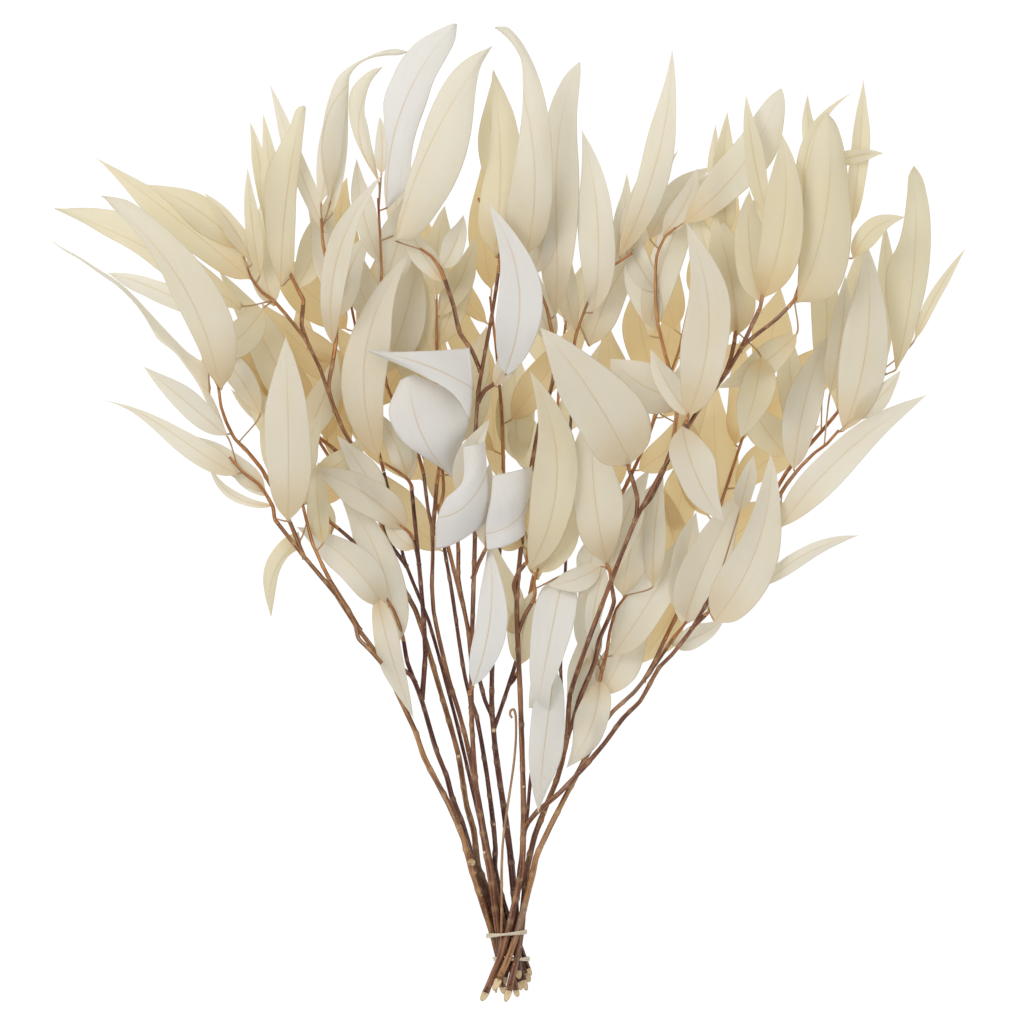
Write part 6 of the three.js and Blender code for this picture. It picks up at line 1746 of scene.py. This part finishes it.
@dataclass(frozen=True)
class Tie:
    """One turn of the tie: two cords side by side, tight round the stems, which change places once.

    The stems that it skips lie over it.
    """

    y: float
    lean: float = 0.0
    cord: float = 0.72
    gap: float = 0.35
    plies: int = 2
    skips: tuple[int, ...] = ()

    def loop(self, stems: Sequence[Stem]) -> tuple[Array, Array]:
        """The line that hugs the stems: for each way out from the middle, the outermost stem's own side.

        Args:
            stems: all stems.

        Returns:
            Points of the loop at even distances, and the way out at each.
        """
        held = [stem for number, stem in enumerate(stems, 1) if number not in self.skips]
        spots = np.array([sheaf_point(stem.waist, self.y) for stem in held])[:, [0, 2]]
        radii = np.array([stem.radius[0] for stem in held])
        turn = np.linspace(0.0, WHOLE_TURN, WAYS_ROUND)
        ways = np.column_stack([np.cos(turn), np.sin(turn)])
        outer = np.argmax(ways @ spots.T + radii, axis=1)
        hull = spots[outer] + ways * (radii[outer] + self.gap + self.cord)[:, None]
        run = arc_lengths(hull)
        at = np.linspace(0.0, run[-1], LOOP_POINTS)[:-1]
        points = np.column_stack([np.interp(at, run, hull[:, k]) for k in (0, 1)])
        out = unit(np.column_stack([np.interp(at, run, ways[:, k]) for k in (0, 1)]))
        return points, out

    def shell(self, stems: Sequence[Stem]) -> Shell:
        """Two closed cords: centre = loop +- swap sin t outwards, and y = place + lean x +- apart cos t.

        Each cord's radius is cord * (1 - relief + relief |cos(plies / 2 (angle - lay))|), which twists its
        plies round it.

        Args:
            stems: all stems.

        Returns:
            Both cords.
        """
        points, out = self.loop(stems)
        count = len(points)
        turn = WHOLE_TURN * np.arange(count) / count
        angle = -WHOLE_TURN * np.arange(CORD_SIDES)[None, :] / CORD_SIDES
        ridge = np.abs(np.cos((angle - turn[:, None] * LAY_TURNS) * self.plies / 2.0))
        reach = self.cord * (1.0 - PLY_RELIEF + PLY_RELIEF * ridge)
        shells = []
        for side in (-1.0, 1.0):
            away = points + out * (SWAP * side * np.sin(turn))[:, None]
            y = self.y + self.lean * points[:, 0] + side * self.cord * CORDS_APART * np.cos(turn)
            line = np.column_stack([away[:, 0], y, away[:, 1]])
            along = unit(np.roll(line, -1, axis=0) - np.roll(line, 1, axis=0))
            outwards = np.column_stack([out[:, 0], np.zeros(count), out[:, 1]])
            beside = unit(np.cross(along, outwards))
            rings = (line[:, None] + beside[:, None] * (reach * np.cos(angle))[..., None]
                     + np.cross(along, beside)[:, None] * (reach * np.sin(angle))[..., None])
            place = spread(reach.shape, arc_lengths(line)[:, None], np.cos(angle), np.sin(angle))
            # The first mood number marks the lay between the plies, where the twine's finish paints shade.
            mood = spread(reach.shape, 1.0 - ridge, ridge, 0.5)
            shells.append(self.closed(rings, place, mood))
        return Shell.joined(shells)

    @staticmethod
    def closed(rings: Array, place: Array, mood: Array) -> Shell:
        """A ring of rings, whose last ring joins its first, so that it has no ends."""
        count, sides = rings.shape[:2]
        index = np.arange(count * sides).reshape(count, sides)
        after, beside = np.roll(index, -1, axis=0), np.roll(index, -1, axis=1)
        quads = np.stack([index, after, np.roll(after, -1, axis=1), beside], axis=-1).reshape(-1, 4)
        return Shell(rings.reshape(-1, 3), quads, np.empty((0, 3), int), place.reshape(-1, 3),
                     mood.reshape(-1, 3), np.zeros(len(quads), int), np.empty(0, int))


TIES = {"tie_upper": Tie(-254.5, 0.11), "tie_lower": Tie(-270.0, skips=(10, 12, 13))}


# Studio


@dataclass(frozen=True)
class Studio:
    """A pale floor, soft light and a camera that looks straight down from far off."""

    frame_width: float = 0.6144
    distance: float = 10.24
    focus: Point = (0.0012, 0.0, 0.08)
    floor_radius: float = 4.0
    floor_rings: int = 12
    floor_sides: int = 64
    floor_glow: float = 0.97
    greys: Span = (0.1, 0.12)
    lamps: tuple[tuple[str, Point, float, float], ...] = (
        ("key", (-1.3, 0.9, 1.9), 1.4, 28.0), ("fill", (1.6, -0.5, 1.6), 1.6, 8.0))
    sky_strength: float = 0.59

    def camera(self) -> None:
        """Makes the camera: lens = sensor * distance / width of the frame."""
        data = bpy.data.cameras.new("camera")
        data.sensor_width = 36.0
        data.lens = data.sensor_width * self.distance / self.frame_width
        data.clip_start, data.clip_end = 0.5, 100.0
        camera = bpy.data.objects.new("camera", data)
        camera.location = (self.focus[0], self.focus[1], self.focus[2] + self.distance)
        bpy.context.scene.collection.objects.link(camera)
        bpy.context.scene.camera = camera

    def floor(self) -> None:
        """Makes the floor: a disc of rings r = R t^2, which shines a little so that it stays white."""
        turn = np.linspace(0.0, WHOLE_TURN, self.floor_sides, endpoint=False)
        radii = self.floor_radius * np.linspace(0.1, 1.0, self.floor_rings)[:, None] ** 2
        index = np.arange(self.floor_rings * self.floor_sides).reshape(self.floor_rings, -1)
        rim = spread(index.shape, radii * np.cos(turn), radii * np.sin(turn), 0.0)
        points = np.concatenate([rim.reshape(-1, 3), np.zeros((1, 3))])
        faces = quads_between(index).tolist() + pole_tris(index.size, index[0], True).tolist()
        mesh = bpy.data.meshes.new("floor")
        mesh.from_pydata(points.tolist(), [], faces)
        recipe = Recipe("floor_paper")
        paper = recipe.noise(recipe.step("ShaderNodeTexCoord").outputs["Object"], 30.0)
        tint = recipe.blend(paper, *((grey, grey, grey, 1.0) for grey in self.greys))
        shader = recipe.surface(tint, 0.9, paper, 0.05, 0.1)
        shader.inputs["Emission Color"].default_value = (1.0, 1.0, 1.0, 1.0)
        shader.inputs["Emission Strength"].default_value = self.floor_glow
        mesh.materials.append(recipe.done(shader))
        floor = bpy.data.objects.new("floor", mesh)
        bpy.context.scene.collection.objects.link(floor)

    def light(self, name: str, place: Point, size: float, power: float) -> None:
        """Adds a soft square light that points at the bunch.

        Args:
            name: name of the light.
            place: where it stands, in metres.
            size: length of its side, in metres.
            power: its power in watts.
        """
        data = bpy.data.lights.new(name, "AREA")
        data.size = size
        data.energy = power
        lamp = bpy.data.objects.new(name, data)
        lamp.location = place
        back = np.array(place) - np.array(self.focus)
        flat = math.hypot(back[0], back[1])
        lamp.rotation_euler = (math.atan2(flat, back[2]), 0.0, math.atan2(back[0], -back[1]))
        lamp.visible_camera = False
        bpy.context.scene.collection.objects.link(lamp)

    def sky(self) -> None:
        """Makes the even pale surroundings."""
        world = bpy.data.worlds.new("surroundings")
        world.use_nodes = True
        shade = world.node_tree.nodes["Background"]
        shade.inputs["Color"].default_value = (1.0, 1.0, 1.0, 1.0)
        shade.inputs["Strength"].default_value = self.sky_strength
        bpy.context.scene.world = world

    def build(self) -> None:
        """Makes the whole studio."""
        self.camera()
        self.floor()
        for lamp in self.lamps:
            self.light(*lamp)
        self.sky()
        bpy.context.scene.view_settings.view_transform = "Standard"


def main() -> None:
    """Builds the studio, the stems, the sprays and the tie, in order."""
    logging.basicConfig(level=logging.INFO, format="%(message)s")
    Studio().build()
    leaves = {tone: finish.material() for tone, finish in LEAF_FINISHES.items()}
    barks = {bark: finish.material() for bark, finish in BARK_FINISHES.items()}
    cut, twine, twig = CutFinish().material(), CordFinish().material(), TWIG_FINISH.material()
    for number, stem in enumerate(STEMS, 1):
        make_piece(f"bark_stem_{number:02d}", stem.shell(number, SCARS), [barks[stem.bark], cut],
                   f"stem_{number:02d}")
    draw = Draw(SEED)
    for number, spray in enumerate(SPRAYS, 1):
        node = f"spray_{number:02d}"
        make_piece(f"leafy_{node}", spray.shell(number, STEMS, draw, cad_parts[node]),
                   [leaves[spray.tone], twig], node)
    for node, tie in TIES.items():
        make_piece(f"twine_{node}", tie.shell(STEMS), [twine], node)


if __name__ == "__main__":
    main()
